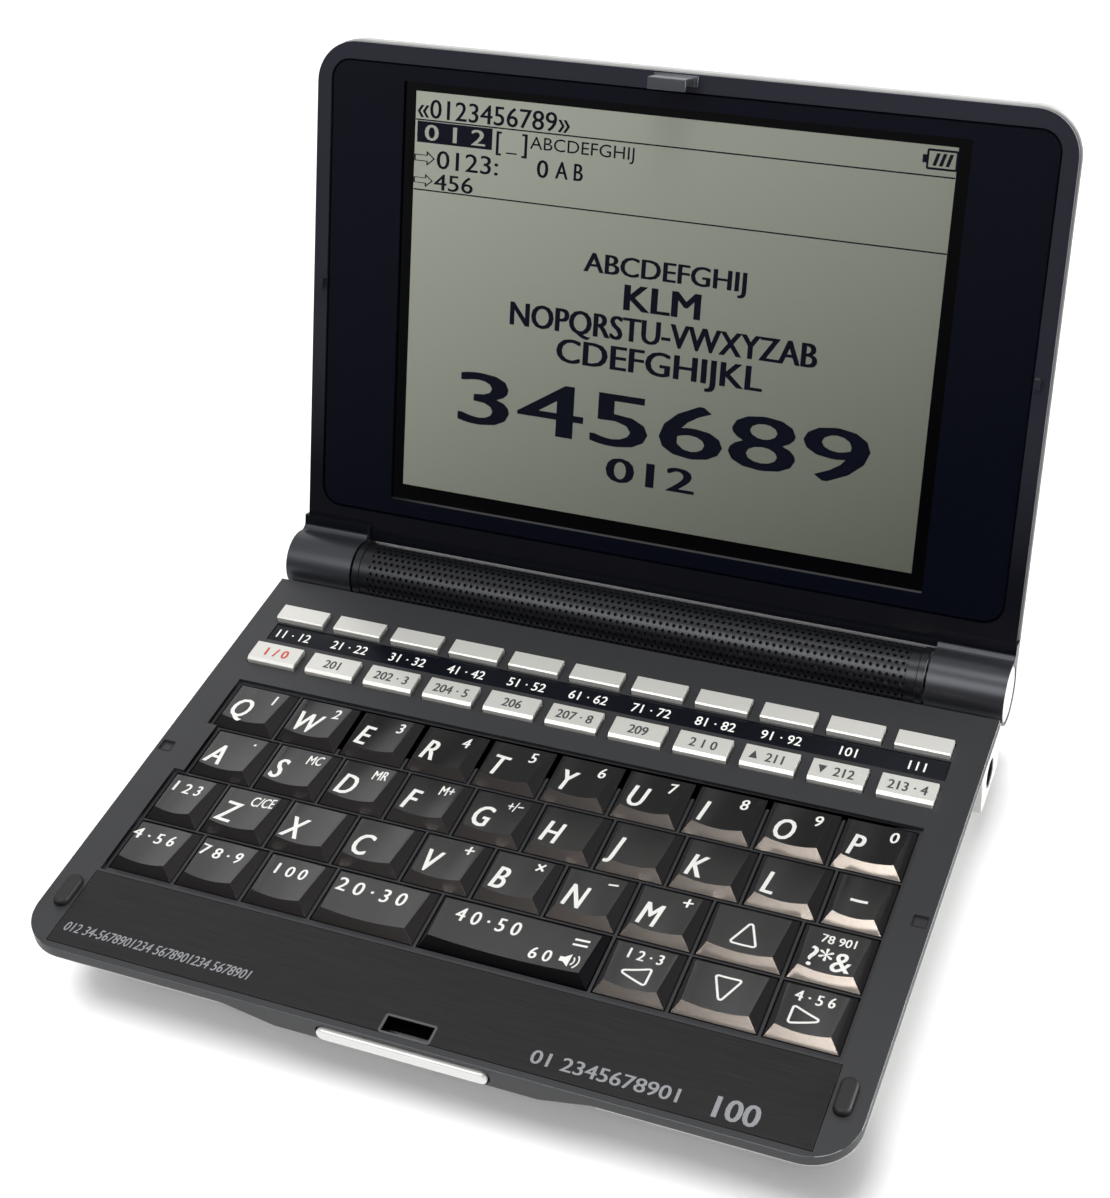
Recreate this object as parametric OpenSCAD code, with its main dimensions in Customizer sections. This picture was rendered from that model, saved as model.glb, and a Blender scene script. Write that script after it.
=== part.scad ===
// Pocket electronic dictionary: a clamshell with a sprung keyboard in the base,
// a display in the lid, and a perforated speaker tube between the two hinge knuckles.
// Millimetres. X runs to the right, Y to the rear, Z up. The lid stands open at rest.
// The origin is the middle of the open object's box, at the level of the table.

/* [Base] */
// Width of the base across the deck
base_w = 113; // [108:0.5:125]
// Depth of the deck from its front edge to its rear edge
deck_l = 76.1; // [74:0.1:80]
// Height of the deck's top face above the table
base_h = 13.6; // [13.4:0.1:18]
// Radius of the deck's front corners
deck_corner_r = 6.5; // [3:0.5:8]
// Thickness of the top cover's plate
cover_t = 1.2; // [1.1:0.05:1.3]
// Height of the dark rim around the deck
rim_h = 1.6; // [1.5:0.1:2]
// Wall of the bottom case
case_wall = 1.2; // [1:0.1:1.4]
// How far the bottom case draws in at the front, from rim to table
front_taper = 13.2; // [10:0.2:16]
// How far the bottom case draws in at each side
side_taper = 3.8; // [3:0.1:4]
// How far the bottom case reaches behind the deck's rear edge
case_rear = 6.4; // [6:0.1:7.5]

/* [Hinge] */
// Opening angle of the lid at rest, counted from closed
open_angle = 111.8; // [95:0.1:130]
// Distance of the hinge axis behind the deck's rear edge
hinge_y = 5.9; // [5.7:0.1:6.6]
// Depth of the hinge axis below the deck's top face
hinge_drop = 0.4; // [0.3:0.05:0.6]
// Outer radius of the lid's knuckles and of the tube's end collars
knuckle_r = 4.5; // [4.2:0.05:4.5]
// Length of each knuckle along the hinge axis
knuckle_l = 11.1; // [9:0.1:14]
// Radius of the steel hinge pins
pin_r = 1.5; // [1.2:0.05:1.8]
// Length of each hinge pin
pin_l = 12; // [9:0.5:13]
// Radial running clearance between a pin and its knuckle
pin_fit = 0.05; // [0.02:0.01:0.1]
// Side gap between a knuckle and the tube's collar
knuckle_gap = 0.3; // [0.2:0.05:0.6]
// Depth of the pocket for the round cap in each knuckle's outer end
cap_t = 0.6; // [0.4:0.1:1]
// Step by which a cap is smaller in radius than its knuckle
cap_step = 0.4; // [0.4:0.1:1]

/* [Speaker tube] */
// Outer radius of the perforated tube
tube_r = 4.3; // [4:0.05:4.4]
// Wall of the perforated tube
tube_wall = 0.5; // [0.4:0.05:0.8]
// Width of the plain collar at each end of the tube
collar_w = 1.2; // [0.8:0.1:2]
// Diameter of a sound hole
sound_hole_d = 0.9; // [0.6:0.1:1.2]
// Spacing of the sound holes along the tube
sound_hole_pitch = 2.4; // [2:0.1:4]

/* [Black keys] */
// Distance from the deck's side to the outer key cells
field_margin = 5.2; // [5:0.05:5.6]
// Distance from the deck's rear edge to the rear row of cells
field_rear = 22.66; // [22.4:0.02:22.8]
// How much the odd keys are narrower or wider than a letter key
key_shift = 1.6; // [1.2:0.1:2]
// Gap between neighbouring keys in a row
key_gap_x = 0.86; // [0.8:0.02:1]
// Gap between neighbouring rows of keys
key_gap_y = 0.7; // [0.6:0.02:0.8]
// Distance from the deck's front edge to the front row of cells
field_front_edge = 15.2; // [15:0.05:15.3]
// Height of a key's front top edge above the deck
key_front_top = 1.1; // [0.9:0.05:1.3]
// Height of a key's rear top edge above the deck
key_rear_top = 0.45; // [0.2:0.05:0.7]
// Run of a key's sloping front and rear faces
key_bevel = 1; // [0.6:0.1:1.4]
// Inset of a key's sides for each millimetre of height
key_side_slope = 0.7; // [0.4:0.05:0.8]
// Depth of the finger dish in a key's top
dish_sag = 0.38; // [0.1:0.02:0.42]
// Travel of a key when it is pressed
key_travel = 0.8; // [0.5:0.05:0.85]
// Wall of a key
key_wall = 0.9; // [0.7:0.05:1]

/* [Silver function keys] */
// Number of keys in each silver row
function_count = 11; // [9:1:11]
// Distance from the deck's side to the outer cells of the silver keys
function_margin = 3.535; // [3.4:0.005:4]
// Gap between two silver keys
function_gap = 1.88; // [1.7:0.02:2.2]
// Distance of the silver rows' middle from the deck's middle
function_shift = -0.3; // [-0.4:0.1:0.4]
// Distance of the upper row's rear edge from the deck's rear edge
upper_row_y = 6.4; // [6.3:0.05:6.6]
// Length of an upper silver key from rear to front
upper_row_l = 2.95; // [2.8:0.05:3]
// Distance of the lower row's rear edge from the deck's rear edge
lower_row_y = 15.1; // [15:0.05:15.3]
// Length of a lower silver key from rear to front
lower_row_l = 3.8; // [3.4:0.05:4]
// Height of the silver keys above the deck
function_top = 0.85; // [0.5:0.05:1]
// Travel of the silver keys
function_travel = 0.6; // [0.4:0.05:0.65]
// Front chamfer of a silver key
function_chamfer = 0.4; // [0.2:0.05:0.5]

/* [Deck details] */
// Depth of the recess that the keys stand in
well_drop = 0.6; // [0.4:0.05:0.7]
// Thickness of the lattice between the keys
lattice_t = 0.9; // [0.8:0.05:1]
// Width of the lattice bars between keys in a row
bar_x = 0.4; // [0.3:0.02:0.5]
// Width of the lattice bars between rows
bar_y = 0.3; // [0.24:0.02:0.36]
// Margin of the well beyond the key field at the sides
well_margin = 0.3; // [0.2:0.05:0.6]
// Margin of the well beyond the key field at the rear
well_rear = 0.6; // [0.4:0.05:0.8]
// Margin of the well beyond the key field at the front
well_front = 1.1; // [0.8:0.05:1.2]
// Distance from the deck's side to the name strip
strip_margin = 4.5; // [4:0.1:5.5]
// Length of the name strip from rear to front
strip_l = 3.6; // [3.2:0.05:3.8]
// Distance of the name strip's rear edge from the deck's rear edge
strip_y = 9.9; // [9.9:0.05:10.2]
// Thickness of the name strip
strip_t = 0.3; // [0.2:0.05:0.4]
// Depth of the name strip's face below the deck
strip_drop = 0.15; // [0:0.05:0.2]
// Distance from the deck's side to the front plate
plate_side = 4.7; // [4.6:0.1:5.5]
// Distance from the deck's front edge to the plate's rear edge
plate_rear = 13.6; // [13.2:0.05:13.6]
// Margin between the front plate and the deck's front edge
plate_margin = 1.1; // [0.8:0.1:1.3]
// Thickness of the front plate
plate_t = 0.4; // [0.3:0.05:0.5]
// Seam around each inlaid plate
inlay_fit = 0.08; // [0.05:0.01:0.15]
// Distance from the deck's front edge to the notches for the lid's nubs
notch_front = 37.7; // [34:0.2:41]
// Length of a rubber pad on the deck
bumper_l = 5.3; // [5:0.1:8]
// Width of a rubber pad on the deck
bumper_w = 2.2; // [1.8:0.1:2.4]
// Height of a rubber pad above the deck
bumper_h = 0.9; // [0.8:0.05:1.6]
// Distance from the deck's front edge to the rubber pads
bumper_front = 9.2; // [7:0.1:12]
// Height of the feet under the case
foot_h = 0.5; // [0.4:0.05:0.9]
// Width of a foot
foot_w = 2.4; // [2:0.1:2.6]
// Length of a foot
foot_l = 7; // [5:0.5:8]

/* [Latch] */
// Width of the slot that takes the lid's hook
slot_w = 6.3; // [5.8:0.1:7]
// Length of the hook's slot from rear to front
slot_l = 2.25; // [2.2:0.05:2.4]
// Distance from the deck's front edge to the hook's slot
slot_edge = 1.35; // [1.3:0.05:1.6]
// Length of the silver release bar
bar_l = 23.3; // [20:0.1:26]
// Height of the silver release bar
bar_h = 1.9; // [1.6:0.05:2]
// Depth of the release bar's middle below the deck
bar_drop = 1.9; // [1.85:0.05:1.95]
// How far the release bar stands out of the front
bar_proud = 0.5; // [0.3:0.05:0.8]
// Travel of the release bar
latch_travel = 1; // [0.8:0.05:1.1]
// Depth of the deeper apron around the release bar
apron_h = 3.3; // [3.2:0.05:3.8]
// Half width of the apron at its full depth
apron_in = 18; // [15:0.5:20]
// Half width of the apron where it meets the rim
apron_out = 25; // [22:0.5:30]
// Width of the hook on the lid
hook_w = 5.6; // [5:0.1:6]
// Thickness of the hook
hook_t = 1; // [0.8:0.05:1.05]
// Reach of the hook's lip
hook_lip = 0.7; // [0.5:0.05:0.75]
// Depth of the hook's tip below the deck
hook_depth = 2.35; // [2.3:0.05:2.5]

/* [Lid] */
// Height of the lid's inner face above the deck when shut
lid_gap = 1.93; // [1.8:0.01:2.4]
// Distance of the shut lid's front edge behind the deck's front edge
lid_step = 0.93; // [0.5:0.01:1]
// Thickness of the lid
lid_t = 5.4; // [5:0.1:7]
// Thickness of the dark bezel's plate
bezel_t = 1.6; // [1.5:0.05:1.8]
// Radius of the lid's top corners
lid_corner_r = 6.5; // [4:0.5:8]
// Radius of the lid's bottom corners
lid_heel_r = 2; // [1:0.5:2.5]
// Chamfer around the lid's back
back_chamfer = 1.3; // [0.5:0.1:2]
// Wall of the lid's back cover
back_wall = 1.1; // [0.9:0.05:1.4]
// Inset of the bezel's outline inside the silver back cover
bezel_inset = 0.25; // [0.1:0.05:0.5]
// Clearance of the lid's lower edge around the tube's collars
lid_tube_gap = 0.3; // [0.3:0.05:0.6]
// Distance of the lid's lower edge from the hinge axis
lid_low = 2.6; // [2.4:0.1:3]
// How far a hinge arm stands proud of the bezel's face
arm_proud = 0.8; // [0.3:0.05:0.9]
// Reach of a hinge arm up the lid from the hinge axis
arm_reach = 6.8; // [6.4:0.1:7]
// Radius of the hollow between a knuckle and its arm
arm_hollow_r = 1.2; // [0.8:0.1:1.3]

/* [Display] */
// Width of the lid's frame beside the window
window_side = 2.6; // [2.5:0.1:4]
// Width of the lid's frame above the window
window_top = 2.9; // [2.7:0.1:3.2]
// Distance of the window's lower edge from the hinge axis
window_y = 8.97; // [8.9:0.01:9.1]
// Thickness of the display window
window_t = 0.85; // [0.6:0.05:0.9]
// Depth of the window's face below the bezel's face
window_drop = 0.2; // [0.1:0.05:0.25]
// Gap around the display window
window_fit = 0.12; // [0.08:0.01:0.2]
// Border of the display panel beside its picture
panel_side = 4.75; // [3:0.05:6]
// Border of the display panel above and below its picture
panel_end = 2.625; // [2:0.025:2.75]
// Thickness of the display panel
panel_t = 2.2; // [1.6:0.1:2.3]
// Distance from the lid's side to the picture
picture_side = 16.25; // [15.5:0.05:18]
// Distance from the lid's top edge to the picture
picture_top = 6.55; // [6.4:0.05:8]
// Distance of the picture's lower edge from the hinge axis
picture_y = 14.17; // [13.6:0.01:14.4]

/* [Power and sound] */
// Diameter of a battery
battery_d = 10.2; // [9.5:0.1:10.2]
// Length of a battery with its button
battery_l = 44.5; // [43.3:0.1:44.5]
// Distance of the batteries' axis from the deck's rear edge
battery_y = 3.4; // [3.35:0.05:3.6]
// Shift of the battery pair to the left
battery_shift = 4.2; // [3.8:0.1:4.4]
// Thickness of the battery cover
door_t = 1; // [0.9:0.05:1.05]
// Bore radius of the earphone socket
socket_bore_r = 1.8; // [1.75:0.01:1.85]
// Depth of the earphone socket's bore
socket_bore_l = 13; // [12:0.1:13.2]
// Side of the earphone socket's square body
socket_side = 4.6; // [4.5:0.05:4.7]
// Distance of the earphone socket from the deck's rear edge
socket_y = 5.45; // [5.3:0.05:5.5]
// Depth of the earphone socket's axis below the deck
socket_drop = 5; // [4.8:0.05:5.2]

/* [Inside] */
// Depth of the dome sheet's top face below the deck
sheet_drop = 3; // [3:0.05:3.1]
// Thickness of the dome sheet
sheet_t = 0.4; // [0.3:0.05:0.5]
// Thickness of the circuit board
board_t = 1; // [0.8:0.1:1.2]
// Radius of a screw's thread
screw_r = 0.8; // [0.7:0.05:1]
// Radius of a screw's head
screw_head_r = 1.5; // [1.3:0.05:1.6]
// Length of a screw under its head
screw_l = 6; // [5:0.5:6.5]
// Running gap between sliding faces
slide_fit = 0.1; // [0.08:0.01:0.15]

/* [Hidden] */
$fn = 48;

// Key names of each row, from the rear row to the front row
row_names = [
    ["key_q", "key_w", "key_e", "key_r", "key_t", "key_y", "key_u", "key_i", "key_o", "key_p"],
    ["key_a", "key_s", "key_d", "key_f", "key_g", "key_h", "key_j", "key_k", "key_l", "key_dash"],
    ["key_shift", "key_z", "key_x", "key_c", "key_v", "key_b", "key_n", "key_m", "key_up", "key_symbol"],
    ["key_menu", "key_copy", "key_jump", "key_back", "key_enter", "key_left", "key_down", "key_right"]];

// Width of each key's cell, in the same order
letters_per_row = 10;
row_count = 4;
key_pitch = (base_w - 2 * field_margin) / letters_per_row;
row_pitch = (deck_l - field_rear - field_front_edge) / row_count;
field_front = deck_l - field_front_edge;
narrow_cell = key_pitch - key_shift;
wide_cell = key_pitch + key_shift;
back_cell = 1.5 * key_pitch;
field_w = letters_per_row * key_pitch;
enter_cell = field_w - 5 * key_pitch - wide_cell - back_cell;
row_cells = [
    [for (i = [1:letters_per_row]) key_pitch],
    [for (i = [1:letters_per_row]) i < letters_per_row ? key_pitch : narrow_cell],
    [for (i = [1:letters_per_row]) i == 1 ? narrow_cell : i == 9 ? wide_cell : key_pitch],
    [key_pitch, key_pitch, key_pitch, back_cell, enter_cell, key_pitch, wide_cell, key_pitch]];
row_inset = [0, key_shift, 0, 0];
last_row = len(row_cells) - 1;
function sum_to(list, count) = count == 0 ? 0 : list[count - 1] + sum_to(list, count - 1);
function row_left(row) = row_inset[row] - field_w / 2;
function cell_x(row, i) = row_left(row) + sum_to(row_cells[row], i) + row_cells[row][i] / 2;
function row_front(row) = (last_row - row) * row_pitch - field_front;

// Levels, counted from the deck's top face
case_low = foot_h - base_h;
flange_t = 0.4;
key_low = -well_drop - lattice_t - slide_fit - flange_t;
key_roof = key_low + 1.6;
function_low = -cover_t - slide_fit - flange_t;
sheet_top = -sheet_drop;
board_top = sheet_top - sheet_t - 0.05;
board_low = board_top - board_t;
battery_z = case_low + door_t + 0.05 + battery_d / 2;
inlay_depth = strip_drop + strip_t;
pad_seat = 0.4;

// The lid's levels, counted along its own Z axis from the hinge axis
stand_angle = 180 - open_angle;
lid_top = deck_l + hinge_y - lid_step;
window_w = base_w - 2 * window_side;
window_h = lid_top - window_top - window_y;
picture_w = base_w - 2 * picture_side;
picture_h = lid_top - picture_top - picture_y;
panel_w = picture_w + 2 * panel_side;
panel_h = picture_h + 2 * panel_end;
rib_x = panel_w / 3;
lid_face = -hinge_drop - lid_gap;
bezel_low = lid_face - bezel_t;
lid_back = lid_face - lid_t;
window_face = lid_face - window_drop;
panel_face = window_face - window_t - 0.1;

// Plan sizes
half_w = base_w / 2;
key_l = row_pitch - key_gap_y;
key_flange_gap = 0.14;
knuckle_in = half_w - knuckle_l;
cap_drop = 0.1;
tube_half = knuckle_in - knuckle_gap;
trough_r = knuckle_r + 0.4;
function_fit = 0.15;
function_ring_r = 1;
function_pitch = (base_w - 2 * function_margin) / function_count;
function_w = function_pitch - function_gap;
function_centres = [
    for (i = [0:function_count - 1]) function_shift + (i - (function_count - 1) / 2) * function_pitch];
upper_plunger_y = -upper_row_y - upper_row_l + 0.55;
lower_plunger_y = -lower_row_y - lower_row_l / 2;
strip_w = base_w - 2 * strip_margin;
strip_front = -strip_y - strip_l;
plate_w = base_w - 2 * plate_side;
plate_y = deck_l - plate_rear;
plate_front = -deck_l + plate_margin;
slot_front = slot_edge - deck_l;
slot_y = -slot_front - slot_l;
notch_x = half_w - 1.5;
notch_y = deck_l - notch_front;
nub_x = notch_x - 0.4;
nub_w = 0.8;
nub_l = 1.4;
nub_h = 1.1;
bumper_y = deck_l - bumper_front;
notch_w = 1.9;
notch_depth = 0.3;
bumper_x = half_w - 3;
battery_x = -battery_shift;
bay_end = battery_l + 0.9;
bay_front = -battery_y - battery_d / 2 - 0.3;
bay_wall = 1;
rail = 1;
foot_x = half_w - 5.5;
door_half = foot_x - foot_w / 2 - 0.6 - rail - battery_shift;
speaker_l = 22;
speaker_w = 5.2;
speaker_t = 3.2;
board_side = 6.1;
board_w = base_w - 2 * board_side;
board_front = -field_front - 1.1;
board_rear = bay_front - 0.1;
sheet_rear = -upper_row_y - 0.9;
chip_sides = [16, 20, 12];
chip_t = 1.4;
chip_pitch = board_w / len(chip_sides);
chip_y = (board_front + board_rear) / 2;
case_boss_x = 0.27 * base_w;
post_r = 2.5;
boss_r = 2;
boss_low = -6.4;
seat_web = 1;
front_screws_y = plate_y + 2.8;
rear_screws_y = strip_y + 2.1;
screw_spots = [
    for (side = [-1, 1])
        each [[side * (half_w - 6.5), -rear_screws_y], [side * (half_w - 10.5), -front_screws_y]]];
foot_spots = [for (side = [-1, 1]) each [[side * foot_x, -1.5], [side * (foot_x - 1.5), 19.1 - deck_l]]];

// The hook and what catches it, with the lid shut
hook_front = slot_front + 0.25;
hook_rear = hook_front + hook_t;
lip_rear = hook_rear + hook_lip;
catch = 0.5;
tongue_front = lip_rear - catch;
bar_t = 0.8;
bar_face = -deck_l - bar_proud;
apron_t = bar_t + latch_travel - bar_proud + 0.1;
carriage_t = 0.6;
carriage_top = -cover_t - slide_fit / 2;
carriage_low = carriage_top - carriage_t;
lip_top = carriage_low - slide_fit;
arm_w = 2.4;
arm_x = hook_w / 2 + 0.8;
carriage_half = arm_x + arm_w;
tongue_l = 3;

// The origin: the middle of the open object's box, at the table
rear_end = hinge_y + (lid_top - back_chamfer) * cos(stand_angle) - lid_back * sin(stand_angle);
origin_y = (bar_face + rear_end) / 2;

// Moves from the deck's own frame to the object's frame
module at_deck() {
    translate([0, -origin_y, base_h]) children();
}

// Moves to the hinge axis
module at_hinge() {
    at_deck() translate([0, hinge_y, -hinge_drop]) children();
}

// The lid's own frame: X along the hinge axis, Y up the lid, Z out of its inner face
module at_lid() {
    at_hinge() rotate([stand_angle, 0, 0]) children();
}

// A cylinder along X from x0 to x1
module rod_x(r, x0, x1) {
    translate([x0, 0, 0]) rotate([0, 90, 0]) cylinder(r = r, h = x1 - x0);
}

// A box given by its low and high corners
module block(low, high) {
    translate(low) cube(high - low);
}

// A flat shape in Y and Z, extruded along X from x0 to x1
module along_x(x0, x1) {
    translate([x0, 0, 0]) rotate([90, 0, 90]) linear_extrude(x1 - x0) children();
}

// A flat shape in X and Z, extruded along Y from y0 to y1
module along_y(y0, y1) {
    translate([0, y1, 0]) rotate([90, 0, 0]) linear_extrude(y1 - y0) children();
}

// A flat shape in X and Y, extruded along Z from z0 to z1
module along_z(z0, z1) {
    translate([0, 0, z0]) linear_extrude(z1 - z0) children();
}

// A rectangle centred on X, with its front and rear corners rounded by their own radii
module plan(w, y0, y1, front_r, rear_r) {
    polygon([
        [front_r - w / 2, y0], [w / 2 - front_r, y0], [w / 2, y0 + front_r], [w / 2, y1 - rear_r],
        [w / 2 - rear_r, y1], [rear_r - w / 2, y1], [-w / 2, y1 - rear_r], [-w / 2, y0 + front_r]]);
    for (side = [-1, 1]) {
        if (front_r > 0) translate([side * (w / 2 - front_r), y0 + front_r]) circle(front_r);
        if (rear_r > 0) translate([side * (w / 2 - rear_r), y1 - rear_r]) circle(rear_r);
    }
}

// A bar with round ends, longer along X
module stadium(l, w) {
    square([l - w, w], center = true);
    for (side = [-1, 1]) translate([side * (l - w) / 2, 0]) circle(w / 2);
}

// The tapered outer form of the bottom case, drawn in by inset on every face
module case_form(inset) {
    low = case_low + inset;
    high = inset > 0 ? -rim_h + 1 : -rim_h;
    hull() {
        along_z(high - 0.1, high)
            plan(base_w - 2 * inset, -deck_l + inset, case_rear - inset, deck_corner_r, 0, $fn = 32);
        along_z(low, low + 0.1)
            plan(base_w - 2 * side_taper - 2 * inset, -deck_l + front_taper + inset, case_rear - inset,
                deck_corner_r, 0, $fn = 32);
    }
}

// The battery cover's plate with a wider rim on its inner half, grown by fit
module door_form(fit, rear) {
    half_t = door_t / 2;
    block([battery_x - door_half - fit, bay_front - fit, case_low - (fit > 0 ? 1 : 0)],
        [battery_x + door_half + fit, rear, case_low + half_t + fit]);
    block([battery_x - door_half - rail - fit, bay_front - fit, case_low + half_t - fit],
        [battery_x + door_half + rail + fit, rear, case_low + (fit > 0 ? case_wall + fit : door_t)]);
}

// Walls around the battery bay
module bay_walls() {
    low = case_low + 0.1;
    high = board_low - 0.3;
    left = battery_x - bay_end;
    right = battery_x + bay_end;
    wall_y = bay_front - slide_fit;
    block([left - bay_wall, wall_y - bay_wall, low], [right + bay_wall, wall_y, high]);
    block([left - bay_wall, wall_y - bay_wall, low], [left, case_rear - 0.2, high]);
    block([right, wall_y - bay_wall, low], [right + bay_wall, case_rear - 0.2, high]);
}

// Silver lower shell: tapered tray with the hinge trough, screw posts and battery bay
module bottom_case() color("#c9c8c4") at_deck() {
    difference() {
        union() {
            intersection() {
                case_form(0);
                union() {
                    difference() {
                        block([-half_w, -deck_l, case_low], [half_w, case_rear, -rim_h]);
                        difference() {
                            case_form(case_wall);
                            translate([0, hinge_y, -hinge_drop])
                                rod_x(trough_r + case_wall, -half_w, half_w);
                        }
                    }
                    for (spot = screw_spots) translate([spot[0], spot[1], case_low])
                        cylinder(r = post_r, h = boss_low - slide_fit - case_low);
                    for (side = [-1, 1], y = [12.9 - field_front, -field_rear])
                        translate([side * case_boss_x, y, case_low])
                            cylinder(r = boss_r, h = board_low - 0.05 - case_low);
                    bay_walls();
                }
            }
            block([half_w - 3, -socket_y - 5, -socket_drop - 3], [half_w, -socket_y + 5, -rim_h]);
        }
        difference() {
            translate([0, hinge_y, -hinge_drop]) rod_x(trough_r, -half_w - 1, half_w + 1);
            tube_saddles();
        }
        door_form(slide_fit, case_rear + 1);
        for (spot = screw_spots) translate([spot[0], spot[1], case_low - 1]) {
            cylinder(r = screw_r + 0.15, h = base_h);
            cylinder(r = screw_head_r + 0.2, h = boss_low - slide_fit - seat_web - case_low + 1);
        }
        for (spot = foot_spots) translate([spot[0], spot[1], 0])
            along_z(case_low - 1, case_low + pad_seat) rotate(90) stadium(foot_l + 0.1, foot_w + 0.1);
        translate([0, -socket_y, -socket_drop]) rod_x(socket_side / 2 - 0.1, half_w - 1, half_w + 1);
        block([half_w - 5, -socket_y - socket_side / 2 - 0.1, -socket_drop - socket_side / 2 - 0.1],
            [half_w - 0.8, -socket_y + socket_side / 2 + 0.1, -socket_drop + socket_side / 2 + 0.1]);
        block([-apron_out - 0.5, -deck_l - 1, -apron_h - 0.1],
            [apron_out + 0.5, -deck_l + apron_t + 0.1, 0]);
        block([-carriage_half - 0.5, -deck_l - 1, -hook_depth - 0.35],
            [carriage_half + 0.5, tongue_front + tongue_l + latch_travel + 0.4, 0]);
    }
}

// Two saddles in the trough that carry the speaker tube's collars
module tube_saddles() {
    translate([0, hinge_y, -hinge_drop]) for (side = [-1, 1]) intersection() {
        difference() {
            rod_x(trough_r + 0.1, side * (tube_half - collar_w / 2) - collar_w / 2,
                side * (tube_half - collar_w / 2) + collar_w / 2);
            rod_x(knuckle_r + 0.03, -half_w, half_w);
        }
        block([-half_w, -3, -trough_r - 1], [half_w, 0.4, -2]);
    }
}

// The recess that the black keys stand in, one band for each row
module well_plan() {
    for (row = [0:last_row]) {
        y0 = row == last_row ? -field_front - well_front : row_front(row) - key_gap_y / 2;
        y1 = row == 0 ? row_front(0) + key_l + well_rear : row_front(row) + key_l + key_gap_y / 2 + 0.01;
        translate([row_left(row) - well_margin, y0])
            square([field_w / 2 - row_left(row) + 2 * well_margin, y1 - y0]);
    }
}

// Dark deck with the key lattice, the function key openings, the rim and the apron
module top_cover() color("#2c2c2e") at_deck() {
    difference() {
        union() {
            along_z(-cover_t, 0) plan(base_w, -deck_l, 0, deck_corner_r, 0);
            along_z(-rim_h, -cover_t) difference() {
                plan(base_w, -deck_l, 0, deck_corner_r, 0);
                plan(base_w - 2 * case_wall, -deck_l + case_wall, -case_wall, deck_corner_r - case_wall, 0);
            }
            along_z(-well_drop - lattice_t, -well_drop)
                plan(field_w + 2 * well_margin + 2, -field_front - well_front - 1,
                    row_front(0) + key_l + well_rear + 1, 0, 0);
            along_y(-deck_l, -deck_l + apron_t) polygon([
                [-apron_out, -rim_h], [-apron_out, -cover_t], [apron_out, -cover_t], [apron_out, -rim_h],
                [apron_in, -apron_h], [-apron_in, -apron_h]]);
            for (spot = screw_spots) translate([spot[0], spot[1], boss_low])
                cylinder(r = boss_r, h = -cover_t - boss_low);
        }
        along_z(-well_drop, 1) well_plan();
        for (row = [0:last_row], i = [0:len(row_cells[row]) - 1])
            translate([cell_x(row, i), row_front(row) + key_l / 2, -well_drop - lattice_t / 2])
                cube([row_cells[row][i] - bar_x, row_pitch - bar_y, lattice_t + 1], center = true);
        for (x = function_centres) {
            function_opening(x, upper_row_y, upper_row_l);
            function_opening(x, lower_row_y, lower_row_l);
        }
        along_z(-inlay_depth, 1) translate([0, strip_front + strip_l / 2])
            square([strip_w + 2 * inlay_fit, strip_l + 2 * inlay_fit], center = true);
        along_z(-plate_t, 1) translate([0, (plate_front - plate_y) / 2])
            square([plate_w + 2 * inlay_fit, -plate_front - plate_y + 2 * inlay_fit], center = true);
        along_z(-cover_t - 1, 1)
            translate([0, slot_front + slot_l / 2]) square([slot_w, slot_l], center = true);
        along_y(-deck_l - 1, -deck_l + apron_t + 0.1) translate([0, -bar_drop])
            stadium(bar_l + 0.5, bar_h + 0.5);
        for (side = [-1, 1]) {
            along_z(-notch_depth, 1) translate([side * notch_x, -notch_y]) square(notch_w, center = true);
            along_z(-pad_seat, 1) translate([side * bumper_x, -bumper_y])
                rotate(90) stadium(bumper_l + 0.1, bumper_w + 0.1);
        }
        for (spot = screw_spots) translate([spot[0], spot[1], boss_low - 1])
            cylinder(r = screw_r + 0.02, h = screw_l);
    }
}

// The hole in the deck that one silver key passes through
module function_opening(x, rear, l) {
    block([x - function_w / 2 - function_fit, -rear - l - function_fit, -cover_t - 1],
        [x + function_w / 2 + function_fit, -rear + function_fit, 1]);
}

// Brushed plate inlaid at the front of the deck, with the hook's slot
module front_plate() color("#3a3a3c") at_deck() {
    along_z(-plate_t, 0) difference() {
        translate([0, (plate_front - plate_y) / 2])
            square([plate_w, -plate_front - plate_y], center = true);
        translate([0, slot_front + slot_l / 2]) square([slot_w, slot_l], center = true);
    }
}

// Glossy strip inlaid between the two silver rows
module name_strip() color("#14161e") at_deck() {
    along_z(-inlay_depth, -strip_drop) translate([0, strip_front + strip_l / 2])
        square([strip_w, strip_l], center = true);
}

// Plan of the circuit board and the dome sheet on it, cut back for the screw bosses and the socket
module board_plan(rear) {
    difference() {
        translate([-board_w / 2, board_front]) square([board_w, rear - board_front]);
        for (spot = screw_spots) translate([spot[0], spot[1]]) circle(boss_r + 0.3);
        translate([half_w - socket_bore_l - 1.5, -socket_y - socket_side / 2 - 0.05]) square([20, 20]);
    }
}

// A raised ring that a key's plunger sinks into
module dome_ring(r, wall, high) {
    along_z(sheet_top - 0.1, high) difference() {
        circle(r);
        circle(r - wall);
    }
}

// Rubber sheet with one ring under every key
module dome_sheet() color("#8d8f92") at_deck() {
    along_z(sheet_top - sheet_t, sheet_top) board_plan(sheet_rear);
    for (row = [0:last_row], i = [0:len(row_cells[row]) - 1])
        translate([cell_x(row, i), row_front(row) + key_l / 2, 0])
            dome_ring(2.1, 0.6, key_roof - key_travel - 0.2);
    for (x = function_centres, y = [upper_plunger_y, lower_plunger_y])
        translate([x, y, 0]) dome_ring(function_ring_r, 0.3, function_low - function_travel - 0.1);
}

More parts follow.
